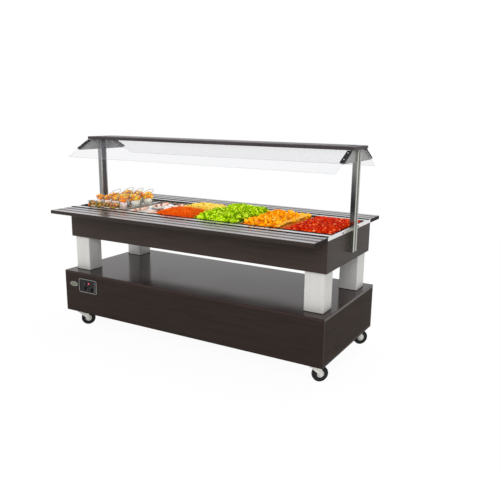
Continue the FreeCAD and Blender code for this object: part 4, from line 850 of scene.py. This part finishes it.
share = strewn(34, 45) * (0.98, 1.02)
count = len(share)
turns = turned(chance.uniform(0, 2 * math.pi, count), chance.normal(0, 0.22, count),
               chance.uniform(0, 2 * math.pi, count), chance.uniform(0.8, 1.25, (count, 3)))
flesh = tinted("carrot_flesh", 0.5, [(0.0, 222, 72, 2), (0.45, 252, 102, 6), (1.0, 255, 142, 36)],
               specular=0.08)
carrot.strew("carrot_shreds", shred(), turns, share, lift=chance.uniform(-0.001, 0.003, count),
             material=flesh, tint=chance.uniform(0.1, 0.9, (count, 1)))


# --------------------------------------
# Sweetcorn: loose kernels, each a flat-sided drop, with a few dark olives among them, over a
# packed bed of the same, coloured darker as painted shade.
corn = Filling("corn", crown=0.026, lumps=0.002, seed=2.2)
corn.bed(shaded_bed("corn_packed_shade", (196, 150, 40), (226, 184, 70)), drop=0.003)

KERNEL = (0.0048, 0.0040, 0.0034)
OLIVES = 17


def kernel():
    """A kernel: a lump that is thicker towards one end, by a quarter of the place along it."""
    points, faces = lump(3.0)
    return points * (1 + 0.25 * points[:, :1]) * KERNEL, faces


share = strewn(38, 31) * (1.0, 1.02)
count = len(share)
turns = tumbled(count, tilt=0.6, roll=0.6, least=0.85, most=1.15)
flesh = tinted("corn_flesh", 0.4, [(0.0, 220, 172, 40), (0.4, 244, 204, 72), (1.0, 254, 226, 116)],
               specular=0.12)
corn.strew("corn_kernels", kernel(), turns, share, lift=chance.uniform(0.0, 0.002, count),
           material=flesh, tint=chance.uniform(0.0, 1.0, (count, 1)))

share = chance.uniform(-0.88, 0.88, (OLIVES, 2))
turns = turned(chance.uniform(0, 6.3, OLIVES), chance.uniform(-0.4, 0.4, OLIVES), 0,
               chance.uniform(0.0035, 0.006, (OLIVES, 3)))
corn.strew("corn_olives", lump(2.4), turns, share, lift=0.0035,
           material=tinted("olive_skin", 0.35, [(0.0, 40, 26, 20), (1.0, 98, 60, 34)]),
           tint=chance.uniform(0.0, 1.0, (OLIVES, 1)))


# --------------------------------------
# Lettuce: torn leaves, each a thin sheet with ruffled edges, piled high and loose over a packed
# bed of the same leaves, coloured darker as painted shade.
lettuce = Filling("lettuce", crown=0.038, lumps=0.009, seed=0.4)
lettuce.bed(shaded_bed("lettuce_packed_shade", (44, 76, 2), (92, 136, 6)), drop=0.008)

LEAF = (0.0155, 0.0115)
LEAF_THICK = 0.0007


def thicken(made, thickness):
    """Gives a sheet a thickness, half to each side of it."""
    wall = made.modifiers.new("wall", "SOLIDIFY")
    wall.thickness = thickness
    wall.offset = 0


def torn_leaf():
    """A leaf: a sheet that narrows to both tips as an ellipse does, cupped by the squares of both
    places, with a ruffle of two crossed waves that grows by the cube of the way to the edge."""
    across, along, faces = grid(6, 4)
    edge = np.maximum(np.abs(across), np.abs(along))
    cup = 0.35 * (across ** 2 + 0.5 * along ** 2)
    ruffle = 0.34 * edge ** 3 * np.sin(6.5 * across + 2.5 * along) * np.cos(5.0 * along)
    narrow = np.sqrt(1 - 0.62 * across ** 2)
    leaf = np.stack([LEAF[0] * across, LEAF[1] * along * narrow, LEAF[0] * (cup + ruffle)], -1)
    return leaf.reshape(-1, 3), faces


share = strewn(22, 38) * (0.98, 1.02)
count = len(share)
turns = tumbled(count, tilt=0.85, roll=0.85, least=0.7, most=1.2)
flesh = tinted("lettuce_flesh", 0.5, [(0.0, 104, 152, 0), (0.35, 160, 204, 2), (0.7, 196, 232, 10),
                                      (1.0, 230, 248, 80)], scale=90.0, specular=0.08)
leaves = lettuce.strew("lettuce_leaves", torn_leaf(), turns, share, material=flesh,
                       lift=chance.uniform(-0.007, 0.007, count),
                       tint=chance.uniform(0.0, 1.0, (count, 1)))
thicken(leaves, LEAF_THICK)


# --------------------------------------
# Orange wedges: crescents of peeled segments standing with their tips up, and one row along the
# right-hand side that shows its yellow-green rind.
orange = Filling("orange", crown=0.030, lumps=0.004, seed=3.1)
# The bed below is coloured darker than the wedges, as painted shade in the gaps between them.
orange.bed(shaded_bed("orange_packed_shade", (190, 92, 0), (240, 140, 2)), drop=0.010)

WEDGE_RADIUS = 0.029
WEDGE_HALF = 0.0185
WEDGE_LIFT = 0.55
WEDGE_RINGS = 11


def cut_wedge():
    """A crescent: rings of six points along a bend of 160 degrees, with 1 for points on the rind.

    Each ring reaches from the rind's arc in towards the centre, by 0.92 of the bend's cosine. Its
    width goes by that cosine's square root, and falls evenly to 0.42 at the inner edge.
    """
    bend = np.radians(np.linspace(-80, 80, WEDGE_RINGS))[:, None]
    rim_x, rim_y = circle(6).T
    inner = 1 - 0.92 * np.cos(bend)
    radial = WEDGE_RADIUS * ((1 + inner) / 2 + (1 - inner) / 2 * rim_x)
    flare = 0.42 + 0.58 * (rim_x + 1) / 2
    rings = np.stack([radial * np.sin(bend), WEDGE_HALF * np.sqrt(np.cos(bend)) * rim_y * flare,
                      WEDGE_LIFT * WEDGE_RADIUS - radial * np.cos(bend)], -1)
    return skin(rings[:, ::-1]), np.tile(rim_x[::-1] > 0.9, WEDGE_RINGS).astype(float)


wedge, on_rind = cut_wedge()
share = strewn(8, 15) * (0.90, 0.96)
count = len(share)
turns = turned(chance.uniform(0, 2 * math.pi, count), chance.normal(0, 0.45, count),
               chance.normal(0.5, 0.4, count), chance.uniform(0.72, 1.05, (count, 1)) * (0.85, 1, 1))
flesh = tinted("orange_flesh", 0.45, [(0.0, 226, 118, 0), (0.35, 252, 164, 2), (0.8, 255, 186, 22),
                                      (1.0, 255, 206, 76)], scale=140.0, specular=0.05)
orange.strew("orange_wedges", wedge, turns, share, lift=chance.uniform(-0.012, 0.002, count),
             material=flesh, tint=chance.uniform(0.0, 1.0, (count, 1)))

ROW = 13
ROW_SIDE = 0.86
ROW_END = 0.90
turns = turned(np.radians(90) + chance.normal(0, 0.05, ROW), chance.normal(0, 0.10, ROW),
               np.radians(-62) + chance.normal(0, 0.12, ROW),
               chance.uniform(1.1, 1.3, (ROW, 1)) * (0.9, 0.30, 0.95))
share = np.column_stack([np.full(ROW, ROW_SIDE), np.linspace(-ROW_END, ROW_END, ROW)])
rind = tinted("orange_rind", 0.45, [(0.0, 250, 176, 50), (0.55, 236, 178, 44), (1.0, 176, 140, 30)],
              mottle=0.12, specular=0.25)
orange.strew("orange_rind_row", wedge, turns, share, lift=0.002, material=rind,
             tint=0.1 + 0.8 * on_rind)


# --------------------------------------
# Diced tomato: wet cubes with soft edges, some with pale flesh, almost level with the pan, over
# a packed bed of the same, coloured darker as painted shade.
tomato = Filling("tomato", crown=0.013, lumps=0.003, seed=5.0)
tomato.bed(shaded_bed("tomato_packed_shade", (120, 14, 6), (190, 30, 12), 0.35), drop=0.004)

DICE = 0.0070
share = strewn(24, 39) * (1.0, 1.03)
count = len(share)
turns = DICE * tumbled(count, tilt=0.5, roll=0.5, least=0.5, most=1.3)
flesh = tinted("tomato_flesh", 0.3, [(0.0, 172, 20, 0), (0.45, 210, 46, 0), (0.85, 228, 74, 10),
                                     (1.0, 248, 150, 92)], mottle=0.15, specular=0.02)
tomato.strew("tomato_dice", lump(4.5), turns, share, lift=chance.uniform(-0.002, 0.003, count),
             material=flesh, tint=chance.uniform(0.0, 1.0, (count, 1)) ** 2.2)


# --------------------------------------
# Filled glasses: a front row of small bowls, a row of tumblers and two rows of tall beakers with
# slanting mouths, all thin clear walls around layers of cream, fruit pieces and slices.
low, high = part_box("cups")
CUP_FLOOR = low[2] + 0.0003
CUP_MIDDLE = (low[0] + high[0]) / 2
WALL = 0.0016
MOUTH_BEAD = 0.0017


def slanted(points, rim, slant):
    """The share of its height that a point keeps where the mouth slants: one less slant times its
    share of the way to the front and a little to the left."""
    return 1 - slant * (1 - (0.35 * points[..., 0] + 0.94 * points[..., 1]) / rim) / 2


def glass_wall(foot, rim, height, slant):
    """A thin conical glass: its outer wall goes up, rolls over the rim and comes down inside to a
    thick foot."""
    profile = [(0.1 * foot, 0.0), (foot, 0.0), (foot + 0.001, 0.003), (rim, height),
               (rim - WALL / 2, height + 0.0004), (rim - WALL, height), (foot - WALL, 0.006),
               (0.1 * foot, 0.005)]
    rings = lathed(profile, 28)
    rings[..., 2] *= slanted(rings, rim, slant)
    return skin(rings)


def mouth(rim, height, slant):
    """The fire-polished edge of a glass: a round bead about the mouth, slanting as the wall does."""
    outward = circle(28)
    points, faces = bead(outward * (rim - WALL / 2), outward, MOUTH_BEAD, MOUTH_BEAD, 6)
    points[:, 2] += height * slanted(points, rim, slant)
    return points, faces


def layer(foot, rim, height, start_at, end_at, dome):
    """A round layer inside a glass between two shares of its height, domed on top."""
    low_width, top_width = (foot + (rim - foot) * share - 1.4 * WALL for share in (start_at, end_at))
    return skin(lathed([(0.1 * foot, start_at * height), (low_width, start_at * height),
                        (top_width, end_at * height), (0.72 * top_width, end_at * height + 0.7 * dome),
                        (0.05 * foot, end_at * height + dome)]))


def row_places(count, pitch, y):
    """The glasses of one row, centred on the pan."""
    x = CUP_MIDDLE + pitch * (np.arange(count) - (count - 1) / 2)
    return np.column_stack([x, np.full(count, y), np.full(count, CUP_FLOOR)])


def chunks(name, places, lift, spread, size, per_glass, stops):
    """Loose pieces in each glass's mouth: a spiral of lumps about its middle, some on top.

    Each lies 2.4 radians on from the last, at the spread times the square root of its share of
    the count.
    """
    index = np.arange(per_glass)
    away = spread * np.sqrt((index + 0.5) / per_glass)
    centre = np.column_stack([away * np.cos(2.4 * index), away * np.sin(2.4 * index),
                              lift + 0.2 * size * (per_glass - index) / per_glass])
    spots = (places[:, None] + centre).reshape(-1, 3)
    count = len(spots)
    spots[:, 2] += chance.uniform(-0.2, 0.5, count) * size
    turns = tumbled(count, tilt=0.6, roll=0.8, least=0.5, most=1.0, around=6.3)
    turns *= size * np.array([0.62, 0.5, 0.36])
    piece(name, copied(lump(3.5), spots, turns), tinted(name + "_flesh", 0.35, stops, mottle=0.12),
          "cup_pan", tint=chance.uniform(0, 1, (count, 1)))


BOWL = (0.022, 0.034, 0.058)
TUMBLER = (0.023, 0.031, 0.094)
BEAKER = (0.031, 0.045, 0.118)
bowls = row_places(4, pitch=0.073, y=-0.212)
tumblers = row_places(4, pitch=0.0757, y=-0.125)
beakers = np.concatenate([row_places(3, pitch=0.0985, y=y) for y in (0.020, 0.165)])

clear_cup, tree, shader = glass("cup_clear", tone(222, 228, 218), 0.04, low=0.03, high=0.08,
                                scale=30.0, Alpha=0.1)
rim_view = wire(tree, "LayerWeight", {"Blend": 0.35}).outputs["Facing"]
rim_alpha = ranged(tree, rim_view, 0.04, 0.26, start_at=0.45, end_at=0.95)
tree.links.new(rim_alpha, shader.inputs["Alpha"])
cup_edge = glass("cup_edge", tone(138, 146, 134), 0.1, low=0.06, high=0.14, scale=30.0, Alpha=0.75)[0]
for name, size, places, slant, replaced in (("bowl", BOWL, bowls, 0.0, ["cups"]),
                                            ("tumbler", TUMBLER, tumblers, 0.12, []),
                                            ("beaker", BEAKER, beakers, 0.34, [])):
    piece(name + "_glasses", copied(glass_wall(*size, slant), places), clear_cup,
          "cup_pan", replaces=replaced)
    piece(name + "_mouths", copied(mouth(*size[1:], slant), places), cup_edge, "cup_pan")

cream = tinted("cup_cream", 0.5, [(0.0, 250, 240, 222), (1.0, 255, 250, 240)], scale=60.0)
pink = tinted("cup_pink_cream", 0.5, [(0.0, 254, 226, 220), (1.0, 255, 246, 244)], scale=60.0)
pale = tinted("cup_pale_cream", 0.5, [(0.0, 248, 248, 228), (1.0, 255, 255, 250)], scale=60.0)
for name, size, places, levels, dome, material in (
        ("bowl_cream", BOWL, bowls, (0.12, 0.42), 0.002, cream),
        ("tumbler_cream", TUMBLER, tumblers, (0.08, 0.62), 0.004, pink),
        ("beaker_cream", BEAKER, beakers, (0.07, 0.44), 0.004, pale)):
    piece(name, copied(layer(*size, *levels, dome), places), material, "cup_pan",
          tint=chance.uniform(0.2, 0.8, (len(places), 1)))

chunks("bowl_olives", bowls, 0.60 * BOWL[2], spread=0.027, size=0.027, per_glass=26,
       stops=[(0.0, 60, 42, 4), (0.3, 136, 106, 14), (0.55, 196, 156, 44), (0.8, 226, 88, 8),
              (1.0, 250, 206, 116)])
chunks("tumbler_fruit", tumblers, 0.76 * TUMBLER[2], spread=0.021, size=0.029, per_glass=19,
       stops=[(0.0, 214, 96, 0), (0.3, 248, 132, 0), (0.7, 255, 164, 12), (1.0, 255, 204, 90)])
chunks("beaker_fruit", beakers, 0.51 * BEAKER[2], spread=0.031, size=0.040, per_glass=22,
       stops=[(0.0, 150, 46, 0), (0.15, 236, 110, 0), (0.45, 255, 164, 0), (0.75, 255, 206, 4),
              (1.0, 255, 222, 110)])

SLICE_PLACE = (0.006, -0.020, 0.076)
SLICE_SIZE = [(1.0, 0.3, 0.8)]
turns = turned(np.radians([20, 10, 30, 25, 15, 5]), np.radians([-32, -38, -34, -36, -30, -38]),
               np.radians([8, -6, 4, -8, 6, 0]), SLICE_SIZE)
piece("beaker_slices", copied(wedge, beakers + SLICE_PLACE, turns),
      tinted("slice_flesh", 0.4, [(0.0, 236, 92, 10), (0.5, 190, 58, 10), (1.0, 110, 30, 10)],
             mottle=0.12), "cup_pan", tint=0.15 + 0.8 * on_rind)


# --------------------------------------
# Skewers on boat plates: four white plates with pointed ends lie in the pan, each with a row of
# cooked bites threaded on a dark wooden stick.
PLATE_HALF = (0.068, 0.119)
PLATE_PITCH = (0.0725, 0.12375)
PLATE_LIFT = 0.0012
PLATE_RIM = 0.009
PLATE_THICK = 0.0016
low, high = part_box("skewer_plates")
plate_places = np.array([((low[0] + high[0]) / 2 + side_x * PLATE_PITCH[0],
                          (low[1] + high[1]) / 2 + side_y * PLATE_PITCH[1], low[2])
                         for side_x in (-1, 1) for side_y in (-1, 1)])


def boat_plate():
    """A boat plate: a sheet that tapers evenly over its last third to both ends, with a rim that
    rises at the sixth power of the way to the edge."""
    along, across, faces = grid(28, 14)
    taper = np.minimum(1.0, (1.02 - np.abs(along)) / 0.34)
    rim = PLATE_RIM * np.maximum(np.abs(across), np.abs(along)) ** 6
    plate = np.stack([-PLATE_HALF[0] * across * taper, PLATE_HALF[1] * along, PLATE_LIFT + rim], -1)
    return plate.reshape(-1, 3), faces


glaze = paint("plate_glaze", tone(246, 247, 244), 0.2, speckle=0.02)
plates = piece("boat_plates", copied(boat_plate(), plate_places), glaze, "skewer_pan",
               replaces=["skewer_plates"])
thicken(plates, PLATE_THICK)

STICK = 0.0017
STICK_ENDS = (-0.112, 0.116)
STICK_LIFT = (0, 0.004, 0.016)
STICK_RISE = np.radians(3.4)
BITE_ENDS = (-0.078, 0.084)
BITE = (0.0105, 0.0122, 0.0100)
BITES = 9
stick = STICK * circle(4)
stick_rings = np.stack([np.column_stack([stick[:, 0], np.full(4, y), -stick[:, 1]]) for y in STICK_ENDS])
places = plate_places + STICK_LIFT
turns = turned(chance.normal(0, 0.03, len(places)), 0, STICK_RISE, [(1, 1, 1)])
piece("skewer_sticks", copied(skin(stick_rings), places, turns),
      tinted("stick_wood", 0.6, [(0.0, 52, 34, 22), (1.0, 84, 58, 38)]), "skewer_pan",
      tint=0.4)
row = np.column_stack([np.zeros(BITES), np.linspace(*BITE_ENDS, BITES), np.zeros(BITES)])
spots = (places[:, None] + row).reshape(-1, 3)
count = len(spots)
spots[:, :2] += chance.normal(0, 0.0012, (count, 2))
turns = turned(chance.normal(0, 0.25, count), chance.normal(0, 0.2, count), chance.normal(0, 0.2, count),
               np.array(BITE) * chance.uniform(0.8, 1.12, (count, 3)))
piece("skewer_bites", copied(lump(3.0), spots, turns),
      tinted("bite_flesh", 0.45, [(0.0, 132, 76, 48), (0.3, 196, 130, 98), (0.6, 238, 194, 172),
                                  (1.0, 248, 226, 212)], scale=120.0, depth=0.001),
      "skewer_pan", tint=chance.uniform(0, 1, (count, 1)))
